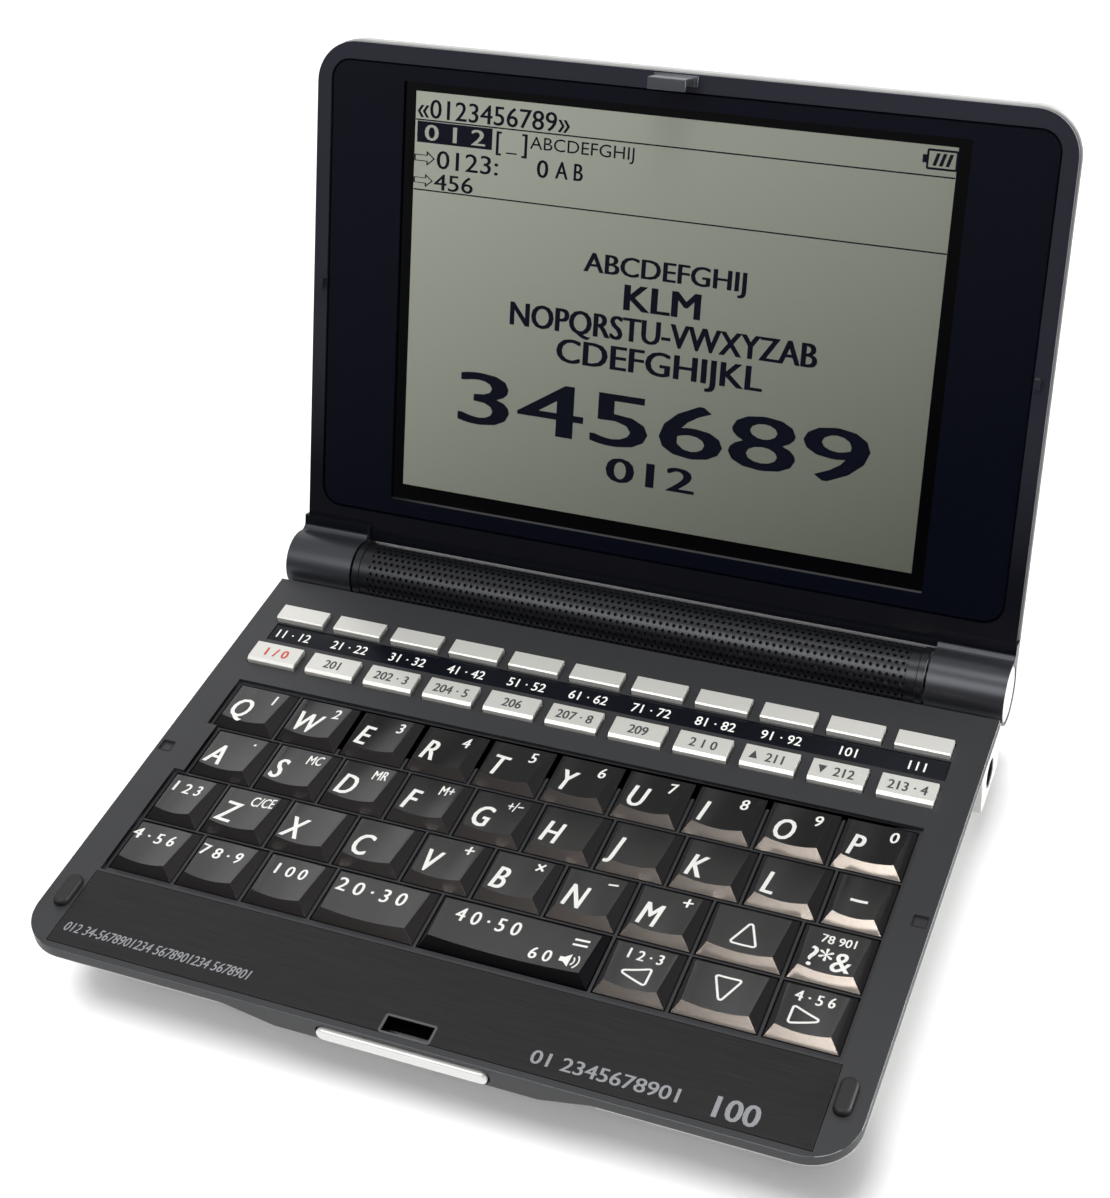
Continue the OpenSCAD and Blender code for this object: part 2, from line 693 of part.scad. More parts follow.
// Circuit board with its chips, the battery contacts and the earphone socket soldered on
module circuit_board() color("#2f6b45") at_deck() {
    along_z(board_low, board_top) board_plan(board_rear);
    for (i = [0:len(chip_sides) - 1]) translate([(i - 1) * chip_pitch, chip_y, board_low - chip_t])
        along_z(0, chip_t) square(chip_sides[i], center = true);
    for (side = [-1, 1]) translate([battery_x + side * (battery_l + 0.45), -battery_y, battery_z])
        cube([0.3, 6, 7], center = true);
    earphone_socket();
}

// Square socket body with the plug's bore, open to the right
module earphone_socket() {
    right = half_w - 0.9;
    translate([0, -socket_y, -socket_drop]) difference() {
        union() {
            block([right - socket_bore_l, -socket_side / 2, -socket_side / 2],
                [right, socket_side / 2, socket_side / 2]);
            rod_x(socket_side / 2 - 0.2, right - 1, half_w - 0.1);
        }
        rod_x(socket_bore_r, half_w - 0.1 - socket_bore_l, half_w + 1);
    }
    block([right - socket_bore_l, -socket_y - socket_side / 2 - 0.9, board_low],
        [right - 2.4, -socket_y - socket_side / 2, board_top]);
}

// Two round cells end to end, each with its button
module batteries() color("#3f4a52") at_deck() {
    for (side = [-1, 1]) translate([battery_x + side * (battery_l / 2 + 0.1), -battery_y, battery_z]) {
        rod_x(battery_d / 2, -battery_l / 2, battery_l / 2 - 1);
        rod_x(1.9, battery_l / 2 - 1.5, battery_l / 2);
    }
}

// Sliding battery cover with grip ridges
module battery_cover() color("#bfbeba") at_deck() {
    difference() {
        door_form(0, case_rear);
        for (i = [0:5]) block([battery_x - 8, case_rear - 5.5 + i * 0.8, case_low - 1],
            [battery_x + 8, case_rear - 5.1 + i * 0.8, case_low + 0.2]);
    }
}

// Perforated tube with a collar and a pin boss at each end
module speaker_grille() color("#1e1f22") at_hinge() {
    columns = floor((2 * tube_half - 2 * collar_w - 5) / sound_hole_pitch);
    difference() {
        union() {
            rod_x(tube_r, -tube_half, tube_half);
            for (side = [-1, 1]) translate([side * (tube_half - collar_w / 2), 0, 0])
                rod_x(knuckle_r, -collar_w / 2, collar_w / 2);
        }
        rod_x(tube_r - tube_wall, collar_w - tube_half, tube_half - collar_w);
        for (line = [0:3], i = [0:columns - 1 - line % 2])
            translate([(i - (columns - 1 - line % 2) / 2) * sound_hole_pitch, 0, 0])
                rotate([60 - line * 27, 0, 0]) cylinder(d = sound_hole_d, h = knuckle_r + 1, $fn = 16);
        rod_x(pin_r + 0.02, -half_w, half_w);
    }
    for (side = [-1, 1]) translate([side * (tube_half - 1.5 - collar_w / 2), 0, 0]) difference() {
        rod_x(pin_r + 1.2, -1.6, 1.6);
        rod_x(pin_r + 0.02, -2, 2);
    }
}

// Small oval loudspeaker inside the tube
module speaker() color("#4b4b4f") at_hinge() {
    along_x(-speaker_l / 2, speaker_l / 2)
        translate([0, 0.6]) square([speaker_w, speaker_t], center = true);
    translate([0, 0, -2]) cylinder(d = speaker_w - 0.8, h = 1.2);
}

// Steel pin at each end of the tube, turning in the lid's knuckle
module hinge_pins() color("#a9abae") at_hinge() {
    start = tube_half - collar_w - 3;
    for (side = [-1, 1]) rod_x(pin_r, side > 0 ? start : -start - pin_l, side > 0 ? start + pin_l : -start);
}

// Rubber pads on the deck and rubber feet under the case
module rubber_pads() color("#161617") at_deck() {
    for (side = [-1, 1]) translate([side * bumper_x, -bumper_y, 0])
        along_z(-pad_seat, bumper_h) rotate(90) stadium(bumper_l, bumper_w);
    for (spot = foot_spots) translate([spot[0], spot[1], 0])
        along_z(-base_h, case_low + pad_seat) rotate(90) stadium(foot_l, foot_w);
}

// Four screws that hold the case to the cover
module case_screws() color("#8f9194") at_deck() {
    seat = boss_low - slide_fit - seat_web;
    for (spot = screw_spots) translate([spot[0], spot[1], seat]) {
        translate([0, 0, -0.9]) difference() {
            cylinder(r = screw_head_r, h = 0.9);
            for (turn = [0, 90]) rotate(turn) translate([0, 0, 0.2]) cube([0.4, 1.8, 0.6], center = true);
        }
        cylinder(r = screw_r, h = screw_l);
    }
}

// Silver release bar with the carriage that catches the lid's hook
module latch_button() color("#d9d9d8") at_deck() {
    along_y(bar_face, bar_face + bar_t) translate([0, -bar_drop]) stadium(bar_l, bar_h);
    for (side = [-1, 1])
        block([side * (arm_x + arm_w / 2) - arm_w / 2, bar_face + bar_t - 0.1, carriage_low],
            [side * (arm_x + arm_w / 2) + arm_w / 2, tongue_front + tongue_l, carriage_top]);
    block([-carriage_half, tongue_front, carriage_low],
        [carriage_half, tongue_front + tongue_l, carriage_top]);
}

// One silver key, with its flange under the deck and its plunger
module function_key(x, rear, l, plunger_y, chamfer) {
    along_x(x - function_w / 2, x + function_w / 2) polygon([
        [-rear, function_low], [-rear, function_top], [chamfer - rear - l, function_top],
        [-rear - l, function_top - chamfer], [-rear - l, function_low]]);
    block([x - function_w / 2 - 0.4, -rear - l - 0.3, function_low],
        [x + function_w / 2 + 0.4, -rear + 0.3, function_low + flange_t]);
    translate([x, plunger_y, sheet_top + function_travel + 0.1])
        cylinder(r = 0.5, h = function_low + 0.2 - sheet_top - function_travel - 0.1);
}

// Row of silver keys behind the name strip
module upper_function_keys() color("#c8c6c0") at_deck() {
    for (x = function_centres)
        function_key(x, upper_row_y, upper_row_l, upper_plunger_y, function_chamfer / 2);
}

// Row of silver keys in front of the name strip
module lower_function_keys() color("#c8c6c0") at_deck() {
    for (x = function_centres)
        function_key(x, lower_row_y, lower_row_l, lower_plunger_y, function_chamfer);
}

// One black key: sloping faces, a dished top, a hollow underside, side flanges and a plunger
module black_key(row, i) color("#26262a") at_deck() translate([cell_x(row, i), row_front(row), 0]) {
    cell = row_cells[row][i];
    w = cell - key_gap_x;
    side_in = key_side_slope * (key_front_top + well_drop);
    half_top = w / 2 - side_in;
    dish_r = (pow(half_top, 2) + pow(dish_sag, 2)) / (2 * dish_sag);
    top_slope = atan((key_front_top - key_rear_top) / (key_l - 2 * key_bevel));
    difference() {
        union() {
            intersection() {
                along_x(-w / 2, w / 2) polygon([
                    [0, key_low], [0, -well_drop], [key_bevel, key_front_top],
                    [key_l - key_bevel, key_rear_top], [key_l, -well_drop], [key_l, key_low]]);
                along_y(0, key_l) polygon([
                    [-w / 2, key_low], [w / 2, key_low], [w / 2, -well_drop],
                    [half_top, key_front_top], [-half_top, key_front_top], [-w / 2, -well_drop]]);
            }
            block([key_flange_gap / 2 - cell / 2, 0, key_low],
                [cell / 2 - key_flange_gap / 2, key_l, key_low + flange_t]);
        }
        translate([0, key_bevel, key_front_top - dish_sag]) rotate([-90 - top_slope, 0, 0])
            translate([0, -dish_r, -3]) cylinder(r = dish_r, h = key_l + 4, $fn = 360);
        block([key_wall - w / 2, key_wall, key_low - 1], [w / 2 - key_wall, key_l - key_wall, key_roof]);
    }
    translate([0, key_l / 2, sheet_top + key_travel + 0.1])
        cylinder(r = 1.1, h = key_roof + 0.2 - sheet_top - key_travel - 0.1);
}

// Plan of the lid, drawn in by inset
module lid_plan(inset) {
    plan(base_w - 2 * inset, lid_low + inset, lid_top - inset, lid_heel_r, lid_corner_r - inset, $fn = 32);
}

// The round space that the lid's lower edge leaves for the speaker tube
module tube_space() {
    rod_x(knuckle_r + lid_tube_gap, -knuckle_in, knuckle_in);
}

// Silver back shell of the lid
module lid_back_cover() color("#cfcfcd") at_lid() {
    difference() {
        hull() {
            along_z(lid_back + back_chamfer, bezel_low) lid_plan(0);
            along_z(lid_back, lid_back + 0.1) lid_plan(back_chamfer);
        }
        difference() {
            along_z(lid_back + back_wall, bezel_low + 1) lid_plan(back_wall + 0.6);
            for (side = [-1, 1]) block([side * rib_x - 0.6, lid_low, lid_back],
                [side * rib_x + 0.6, lid_top, panel_face - panel_t - 0.05]);
        }
        tube_space();
    }
}

// Side view of a hinge arm: the round knuckle, its pad on the bezel and the hollow between.
// The hollow cuts a little into both circles, so that no two curves only touch
module arm_profile() {
    bite = 0.02;
    pad_top = lid_face + arm_proud;
    hollow_z = pad_top + arm_hollow_r - bite;
    middle_gap = knuckle_r + arm_hollow_r - bite;
    hollow_y = sqrt(pow(middle_gap, 2) - pow(hollow_z, 2));
    inner = (knuckle_r - 0.3) / middle_gap;
    circle(knuckle_r, $fn = 64);
    translate([1, bezel_low]) square([arm_reach - 1, pad_top - bezel_low]);
    difference() {
        polygon([[2, pad_top - 0.1], [hollow_y, pad_top - 0.1],
            [hollow_y * inner, hollow_z * inner], [2, hollow_z * inner]]);
        translate([hollow_y, hollow_z]) circle(arm_hollow_r);
    }
}

// Dark frame around the display with the two hinge knuckles
module lid_bezel() color("#26272b") at_lid() {
    picture_mid = picture_y + picture_h / 2;
    difference() {
        union() {
            difference() {
                along_z(bezel_low, lid_face) lid_plan(bezel_inset);
                tube_space();
            }
            for (side = [-1, 1]) {
                inner = side > 0 ? knuckle_in : -half_w;
                along_x(inner, inner + knuckle_l) arm_profile();
                block([side * nub_x - nub_w / 2, hinge_y + notch_y - nub_l / 2, bezel_low],
                    [side * nub_x + nub_w / 2, hinge_y + notch_y + nub_l / 2, lid_face + nub_h]);
            }
        }
        along_z(window_face - window_t - 0.05, 1) translate([0, window_y + window_h / 2])
            rounded_window(window_fit);
        translate([0, picture_mid, 0]) cube([panel_w + 0.3, panel_h + 0.3, 20], center = true);
        rod_x(pin_r + pin_fit, -knuckle_in - pin_l + collar_w + 2.5, knuckle_in + pin_l - collar_w - 2.5);
        for (side = [-1, 1])
            rod_x(knuckle_r - cap_step + 0.02, side * half_w - cap_t, side * half_w + cap_t);
    }
}

// Plan of the display window, grown by fit
module rounded_window(fit) {
    r = 3 + fit;
    square([window_w + 2 * fit - 2 * r, window_h + 2 * fit], center = true);
    square([window_w + 2 * fit, window_h + 2 * fit - 2 * r], center = true);
    for (x = [-1, 1], y = [-1, 1])
        translate([x * (window_w / 2 + fit - r), y * (window_h / 2 + fit - r)]) circle(r);
}

// Clear window with a dark printed border
module display_window() color("#0b0f1e") at_lid() {
    along_z(window_face - window_t, window_face) translate([0, window_y + window_h / 2]) rounded_window(0);
}

// Display panel behind the window
module display_panel() color("#989b8c") at_lid() {
    along_z(panel_face - panel_t, panel_face) translate([0, picture_y + picture_h / 2])
        square([panel_w, panel_h], center = true);
    along_z(panel_face - 0.01, panel_face + 0.05) translate([0, picture_y + picture_h / 2])
        square([picture_w, picture_h], center = true);
}

// Metal hook at the lid's top edge
module lid_hook() color("#56585c") at_lid() {
    tip = hook_depth - hinge_drop;
    lip_z = -lip_top - hinge_drop;
    block([-hook_w / 2, hinge_y - hook_rear, lid_face], [hook_w / 2, hinge_y - hook_front, tip]);
    block([-hook_w / 2, hinge_y - lip_rear, lip_z], [hook_w / 2, hinge_y - hook_rear + 0.1, tip]);
    block([-hook_w / 2 - 0.5, hinge_y - hook_rear - 0.3, lid_face],
        [hook_w / 2 + 0.5, hinge_y - hook_front + 0.2, lid_face + 0.4]);
}

// Round silver cap in the pocket of each knuckle's outer end, a little below the rim
module hinge_caps() color("#dcdcda") at_lid() {
    for (side = [-1, 1]) translate([side * (half_w - cap_t), 0, 0])
        rod_x(knuckle_r - cap_step, min(0, side * (cap_t - cap_drop)), max(0, side * (cap_t - cap_drop)));
}

bottom_case();
top_cover();
front_plate();
name_strip();
dome_sheet();
circuit_board();
batteries();
battery_cover();
speaker_grille();
speaker();
hinge_pins();
rubber_pads();
case_screws();
latch_button();
upper_function_keys();
lower_function_keys();
lid_back_cover();
lid_bezel();
display_window();
display_panel();
lid_hook();
hinge_caps();
for (row = [0:last_row], i = [0:len(row_cells[row]) - 1])
    black_key(row, i);
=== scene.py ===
import math

import bmesh
import bpy
from mathutils import Matrix, Vector


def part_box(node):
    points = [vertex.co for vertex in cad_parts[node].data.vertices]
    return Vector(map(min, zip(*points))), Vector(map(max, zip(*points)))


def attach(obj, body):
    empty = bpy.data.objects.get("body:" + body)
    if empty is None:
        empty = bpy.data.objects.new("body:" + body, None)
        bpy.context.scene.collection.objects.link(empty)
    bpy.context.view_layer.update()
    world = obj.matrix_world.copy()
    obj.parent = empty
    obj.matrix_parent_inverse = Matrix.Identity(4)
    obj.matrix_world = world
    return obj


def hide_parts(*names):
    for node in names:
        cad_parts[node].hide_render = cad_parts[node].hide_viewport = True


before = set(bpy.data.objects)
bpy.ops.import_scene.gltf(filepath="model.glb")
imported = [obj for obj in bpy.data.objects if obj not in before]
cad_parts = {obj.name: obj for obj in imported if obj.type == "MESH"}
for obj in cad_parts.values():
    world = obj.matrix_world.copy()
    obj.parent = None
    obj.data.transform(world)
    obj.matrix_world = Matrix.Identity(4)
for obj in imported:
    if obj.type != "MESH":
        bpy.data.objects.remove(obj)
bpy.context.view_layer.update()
MM = 0.001

# Lower case
# The pocket dictionary's tray, moulded in ABS and sprayed with satin silver lacquer.
# It is screwed to the dark deck from below and shows as a pale line under it.


def linear(colour):
    # A hex colour as linear red, green and blue, with full alpha
    parts = [int(colour[i:i + 2], 16) / 255 for i in (1, 3, 5)]
    return [p / 12.92 if p <= 0.04045 else ((p + 0.055) / 1.055) ** 2.4 for p in parts] + [1.0]


def add(tree, kind, settings=None, inputs=None):
    node = tree.nodes.new(kind)
    for name, value in (settings or {}).items():
        setattr(node, name, value)
    for name, value in (inputs or {}).items():
        if isinstance(value, bpy.types.NodeSocket):
            tree.links.new(value, node.inputs[name])
        else:
            node.inputs[name].default_value = value
    return node


def finish(name, colour, roughness, metallic=0.0, ior=1.5, grain=None, depth=0.0, stretch=(1, 1, 1)):
    # grain is the size of the surface's texture in mm, and depth its height in mm
    made = bpy.data.materials.new(name)
    made.use_nodes = True
    tree = made.node_tree
    shader = tree.nodes["Principled BSDF"]
    shader.inputs["Base Color"].default_value = linear(colour)
    shader.inputs["Roughness"].default_value = roughness
    shader.inputs["Metallic"].default_value = metallic
    if not metallic:
        shader.inputs["IOR"].default_value = ior
    if grain:
        spot = add(tree, "ShaderNodeTexCoord")
        turn = add(tree, "ShaderNodeMapping", None, {"Vector": spot.outputs["Object"], "Scale": stretch})
        noise = add(tree, "ShaderNodeTexNoise", None,
                    {"Vector": turn.outputs["Vector"], "Scale": 1 / (grain * MM), "Detail": 2.0})
        bump = add(tree, "ShaderNodeBump", None,
                   {"Height": noise.outputs["Fac"], "Distance": depth * MM, "Strength": 1.0})
        tree.links.new(bump.outputs["Normal"], shader.inputs["Normal"])
    return made


# Satin silver lacquer on ABS: an even pale metal look with a soft highlight
silver_lacquer = finish("satin_silver_lacquer_on_abs", "#cbccca", 0.34, metallic=0.15)


def smooth(mesh, angle):
    mesh.shade_smooth()
    mesh.set_sharp_from_angle(angle=math.radians(angle))


def applied(holder):
    # The mesh of an object with its modifiers carried out
    return bpy.data.meshes.new_from_object(holder.evaluated_get(bpy.context.evaluated_depsgraph_get()))


def as_mesh(shape, name, outward=False):
    # outward turns all faces of a closed shape to the outside
    if outward:
        bmesh.ops.recalc_face_normals(shape, faces=shape.faces)
    mesh = bpy.data.meshes.new(name)
    shape.to_mesh(mesh)
    shape.free()
    return mesh


def dressed(node, body, material, radius, wide=None, steps=2, angle=28):
    # A copy of a CAD node's mesh with its edges rounded. radius is in mm, and wide(edge) gives an edge
    # a radius of its own
    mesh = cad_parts[node].data.copy()
    mesh.materials.clear()
    shape = bmesh.new()
    shape.from_mesh(mesh)
    bmesh.ops.remove_doubles(shape, verts=shape.verts, dist=0.002 * MM)
    bmesh.ops.dissolve_limit(shape, angle_limit=math.radians(0.6), verts=shape.verts, edges=shape.edges)
    weights = shape.edges.layers.float.new("bevel_weight_edge")
    largest = radius
    radii = {}
    for edge in shape.edges:
        if len(edge.link_faces) == 2 and edge.calc_face_angle(0) > math.radians(angle):
            radii[edge] = (wide(edge) if wide else None) or radius
            largest = max(largest, radii[edge])
    for edge, value in radii.items():
        edge[weights] = value / largest
    shape.to_mesh(mesh)
    shape.free()
    rough = bpy.data.objects.new(node + "_rounded", mesh)
    bpy.context.scene.collection.objects.link(rough)
    bevel = rough.modifiers.new("edges", "BEVEL")
    bevel.limit_method = "WEIGHT"
    bevel.width = largest * MM
    bevel.segments = steps
    bevel.use_clamp_overlap = True
    bevel.harden_normals = False
    done = applied(rough)
    bpy.data.objects.remove(rough)
    piece = bpy.data.objects.new(node + "_body", done)
    bpy.context.scene.collection.objects.link(piece)
    done.materials.append(material)
    smooth(done, 35)
    # Flat faces keep their own normals, and the rounded edges blend into them
    level = piece.modifiers.new("normals", "WEIGHTED_NORMAL")
    level.keep_sharp = True
    piece.data = applied(piece)
    piece.modifiers.clear()
    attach(piece, body)
    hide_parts(node)
    return piece


dressed("bottom_case", "base", silver_lacquer, 0.25)
dressed("battery_cover", "battery_cover", silver_lacquer, 0.12)

# Deck
# The upper shell, moulded in ABS with a fine spark-eroded matt texture and painted dark grey.
# Its rim goes round the whole base, and its lattice frames each black key.
DECK_LOW, DECK_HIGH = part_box("top_cover")
DECK_TOP = DECK_HIGH.z
# The radius of the rim's edge, the depth of its front and the reach of the edge, in mm
RIM_RADIUS, RIM_FRONT, RIM_BAND = 0.55, 2.1, 0.6
deck_paint = finish("matt_dark_grey_paint_on_abs", "#222326", 0.5, grain=0.12, depth=0.002)


def deck_edge(edge):
    # The rim's upper outer edge is rounder than the other edges, at the sides and along the front
    middle = (edge.verts[0].co + edge.verts[1].co) / 2
    on_top = min(v.co.z for v in edge.verts) > DECK_TOP - 0.05 * MM
    outer = abs(middle.x) > DECK_HIGH.x - 0.1 * MM or middle.y < DECK_LOW.y + RIM_FRONT * MM
    return RIM_RADIUS if on_top and outer else None


deck = dressed("top_cover", "base", deck_paint, 0.12, deck_edge)
# The rim's rounded edge is smooth and is painted lighter than the deck as a painted highlight, more at the
# sides than along the front
side_rim_highlight = finish("smooth_dark_grey_paint_edge", "#b2b1b2", 0.3)
front_rim_highlight = finish("dark_grey_paint_front_edge", "#48494c", 0.25)
deck.data.materials.append(side_rim_highlight)
deck.data.materials.append(front_rim_highlight)
for face in deck.data.polygons:
    outward = max(abs(face.normal.x), -face.normal.y)
    at_side = abs(face.center.x) > DECK_HIGH.x - RIM_BAND * MM
    at_front = face.center.y < DECK_LOW.y + RIM_FRONT * MM
    rounded = 0.2 < outward < 0.97 and face.normal.z > 0.2
    if (at_side or at_front) and rounded and face.center.z > DECK_TOP - RIM_BAND * MM:
        face.material_index = 1 if abs(face.normal.x) > 0.3 else 2

# Front plate
# Thin aluminium sheet, brushed from side to side and anodised dark grey, glued into the deck.
# The brushing draws long fine lines along X and stretches the highlights across them.
BRUSH_GRAIN, BRUSH_DEPTH = 0.07, 0.008
brushed = finish("brushed_dark_anodised_aluminium", "#1f1f20", 0.44, metallic=0.6,
                 grain=BRUSH_GRAIN, depth=BRUSH_DEPTH, stretch=(0.012, 1, 1))
tree = brushed.node_tree
spot = add(tree, "ShaderNodeTexCoord")
lines = add(tree, "ShaderNodeMapping", None, {"Vector": spot.outputs["Object"], "Scale": (0.01, 1, 1)})
streaks = add(tree, "ShaderNodeTexNoise", None,
              {"Vector": lines.outputs["Vector"], "Scale": 1 / (BRUSH_GRAIN * MM), "Detail": 3.0})
tones = add(tree, "ShaderNodeValToRGB", None, {"Fac": streaks.outputs["Fac"]})
for stop, position, colour in ((0, 0.3, "#161617"), (1, 0.72, "#272728")):
    tones.color_ramp.elements[stop].position = position
    tones.color_ramp.elements[stop].color = linear(colour)
tree.links.new(tones.outputs["Color"], tree.nodes["Principled BSDF"].inputs["Base Color"])
dressed("front_plate", "base", brushed, 0.05)

# The hook's slot goes through the plate and the deck, and its walls are painted near-black as painted shade
SLOT_HALF, SLOT_FRONT, SLOT_REAR = 3.15 * MM, DECK_LOW.y + 1.35 * MM, DECK_LOW.y + 3.6 * MM
SLOT_MARGIN, SLOT_LIP = 0.1 * MM, 0.2 * MM
slot_painted_shade = finish("shaded_slot_wall", "#020203", 0.9, ior=1.02)
for name in ("top_cover", "front_plate"):
    shell = bpy.data.objects[name + "_body"].data
    shell.materials.append(slot_painted_shade)
    for face in shell.polygons:
        x, y, z = face.center
        across = abs(x) < SLOT_HALF + SLOT_MARGIN
        along = SLOT_FRONT - SLOT_MARGIN < y < SLOT_REAR + SLOT_MARGIN
        if across and along and z < DECK_TOP - SLOT_LIP:
            face.material_index = len(shell.materials) - 1

# The lattice between the keys is painted near-black with little gloss, as painted shade between the keys
FIELD_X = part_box("key_p")[1].x + 0.35 * MM
FIELD_LOW, FIELD_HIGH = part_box("key_menu")[0].y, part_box("key_q")[1].y
lattice_painted_shade = finish("bare_black_abs_lattice", "#0b0b0d", 0.55, ior=1.3)
deck.data.materials.append(lattice_painted_shade)
for face in deck.data.polygons:
    spots = [deck.data.vertices[i].co for i in face.vertices]
    across = max(abs(spot.x) for spot in spots) < FIELD_X
    if across and min(spot.y for spot in spots) > FIELD_LOW and max(spot.y for spot in spots) < FIELD_HIGH:
        face.material_index = len(deck.data.materials) - 1

# Name strip
# Clear polycarbonate printed navy black on its back, inlaid between the two silver rows.
# It carries one small white number under each upper key.
strip_gloss = finish("navy_printed_polycarbonate", "#0c0e16", 0.12, ior=1.22)
dressed("name_strip", "base", strip_gloss, 0.04)

# Prints are thin solids that stand a little over their face. CAPITAL is a capital's share of the type's size
INK_T, STRIKE_STEP, CAPITAL, TURN_STEPS = 0.03, 0.006, 0.73, 6
PRINT_LIFT = INK_T * MM * 0.4
white_ink = finish("white_pad_printing_ink", "#f2f2ee", 0.5)
grey_ink = finish("grey_pad_printing_ink", "#85868a", 0.5)
dark_ink = finish("dark_pad_printing_ink", "#3a3a3c", 0.5)
red_ink = finish("red_pad_printing_ink", "#c4402e", 0.5)


def lettering(words, height, width=1.0, bold=0.0, slant=0.0, align="CENTER"):
    # Words as a flat printed mesh in mm, their middle at the origin: height is that of a capital.
    # bold prints the words again this far to each side, as a heavier face, each print a little higher
    curve = bpy.data.curves.new("words", "FONT")
    curve.body = words
    curve.size = height / CAPITAL
    curve.align_x = align
    curve.shear = slant
    curve.extrude = INK_T / 2
    curve.resolution_u = 3
    holder = bpy.data.objects.new("words", curve)
    bpy.context.scene.collection.objects.link(holder)
    once = applied(holder)
    bpy.data.objects.remove(holder)
    bpy.data.curves.remove(curve)
    once.transform(Matrix.Diagonal((width, 1, 1, 1)) @ Matrix.Translation((0, -height / 2, 0)))
    if not bold:
        return once
    shape = bmesh.new()
    for step in (-1, 0, 1):
        moved = once.copy()
        moved.transform(Matrix.Translation((step * bold, 0, step * STRIKE_STEP)))
        shape.from_mesh(moved)
        bpy.data.meshes.remove(moved)
    bpy.data.meshes.remove(once)
    return as_mesh(shape, "words")


def outline(corners, stroke, radius):
    # A closed printed line through corners in mm, given against the clock, with rounded turns
    def ring(offset):
        points = []
        for i, corner in enumerate(corners):
            at = Vector(corner)
            back = (Vector(corners[i - 1]) - at).normalized()
            ahead = (Vector(corners[(i + 1) % len(corners)]) - at).normalized()
            half = back.angle(ahead) / 2
            middle = (back + ahead).normalized()
            centre = at + middle * radius / math.sin(half)
            for k in range(TURN_STEPS + 1):
                turned = Matrix.Rotation((math.pi - 2 * half) * (k / TURN_STEPS - 0.5), 2) @ -middle
                points.append(centre + turned * (radius + offset))
        return points
    return band(ring(stroke / 2), ring(-stroke / 2), INK_T)


def band(outer, inner, thick, edge=None, edge_t=0.0):
    # A flat ring. edge is the outer line drawn in by a chamfer that is edge_t high
    shape = bmesh.new()
    count = len(outer)
    lines = [(outer, -thick / 2), (outer, thick / 2 - edge_t), (inner, thick / 2), (inner, -thick / 2)]
    if edge:
        lines.insert(2, (edge, thick / 2))
    rows = [[shape.verts.new((p[0], p[1], z)) for p in line] for line, z in lines]
    for a in range(len(rows)):
        low, high = rows[a], rows[(a + 1) % len(rows)]
        for i in range(count):
            j = (i + 1) % count
            shape.faces.new((low[i], low[j], high[j], high[i]))
    return as_mesh(shape, "outline", True)


def solid_shape(points, thick=INK_T):
    # A flat printed shape with this outline
    shape = bmesh.new()
    low = [shape.verts.new((p[0], p[1], -thick / 2)) for p in points]
    high = [shape.verts.new((p[0], p[1], thick / 2)) for p in points]
    shape.faces.new(low)
    shape.faces.new(high)
    for i in range(len(points)):
        j = (i + 1) % len(points)
        shape.faces.new((low[i], low[j], high[j], high[i]))
    return as_mesh(shape, "print", True)


def four_corners(x0, y0, x1, y1):
    return [(x0, y0), (x1, y0), (x1, y1), (x0, y1)]


def shifted(mesh, x, y):
    mesh.transform(Matrix.Translation((x, y, 0)))
    return mesh


def spanned(words, x0, x1, y, height, bold=0.0, slant=0.0):
    # Words that reach from x0 to x1
    trial = lettering(words, height, 1.0, 0.0, slant)
    reach = [v.co.x for v in trial.vertices]
    low, high = min(reach), max(reach)
    bpy.data.meshes.remove(trial)
    width = (x1 - x0) / (high - low)
    return shifted(lettering(words, height, width, bold, slant), x0 - low * width, y)


def printed(name, body, material, meshes, place, surface=None):
    # Joins flat prints, in mm on a face's own X and Y, lays them on that face and gives them to a body.
    # surface(x, y) is the face's height in mm
    shape = bmesh.new()
    for mesh in meshes:
        shape.from_mesh(mesh)
        bpy.data.meshes.remove(mesh)
    bmesh.ops.remove_doubles(shape, verts=shape.verts, dist=0.001)
    if surface:
        # Long edges are cut, so that the print follows a dished face
        long_edges = [e for e in shape.edges if e.calc_length() > 0.6]
        if long_edges:
            bmesh.ops.subdivide_edges(shape, edges=long_edges, cuts=2)
        bmesh.ops.triangulate(shape, faces=shape.faces)
        for vert in shape.verts:
            vert.co.z += surface(vert.co.x, vert.co.y)
    mesh = as_mesh(shape, name)
    mesh.transform(place @ Matrix.Scale(MM, 4))
    mesh.materials.append(material)
    piece = bpy.data.objects.new(name, mesh)
    bpy.context.scene.collection.objects.link(piece)
    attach(piece, body)
    return piece


# The middles of the eleven silver keys, from left to right in mm
FUNCTION_PITCH, FUNCTION_SHIFT, FUNCTION_COUNT = 9.63, -0.3, 11
function_x = [FUNCTION_SHIFT + (i - (FUNCTION_COUNT - 1) / 2) * FUNCTION_PITCH for i in range(FUNCTION_COUNT)]
strip_low, strip_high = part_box("name_strip")
strip_marks = ["11 · 12", "21 · 22", "31 · 32", "41 · 42", "51 · 52", "61 · 62", "71 · 72",
               "81 · 82", "91 · 92", "101", "111"]
strip_place = Matrix.Translation((0, (strip_low.y + strip_high.y) / 2, strip_high.z + PRINT_LIFT))
printed("strip_numbers", "base", white_ink,
        [shifted(lettering(words, 1.8, 0.86, 0.02), x, 0) for words, x in zip(strip_marks, function_x)],
        strip_place)

# The front plate carries small grey numbers at both ends and its slot has a turned edge; a dark line round
# each notch in the deck is painted shadow
edge_tone = finish("bright_cut_edge", "#48494b", 0.4)
notch_painted_shadow = finish("shaded_gap", "#0c0c0e", 0.8)
plate_place = Matrix.Translation((0, 0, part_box("front_plate")[1].z + PRINT_LIFT))
printed("plate_numbers", "base", grey_ink,
        [spanned("012 34-5678901234 5678901234 5678901", -50.6, -22.9, -55.2, 1.6, 0.02, 0.2),
         spanned("01 2345678901", 16.1, 34.9, -55.6, 2.1, 0.05), spanned("100", 39.4, 44.8, -55.6, 3.2, 0.1)],
        plate_place)
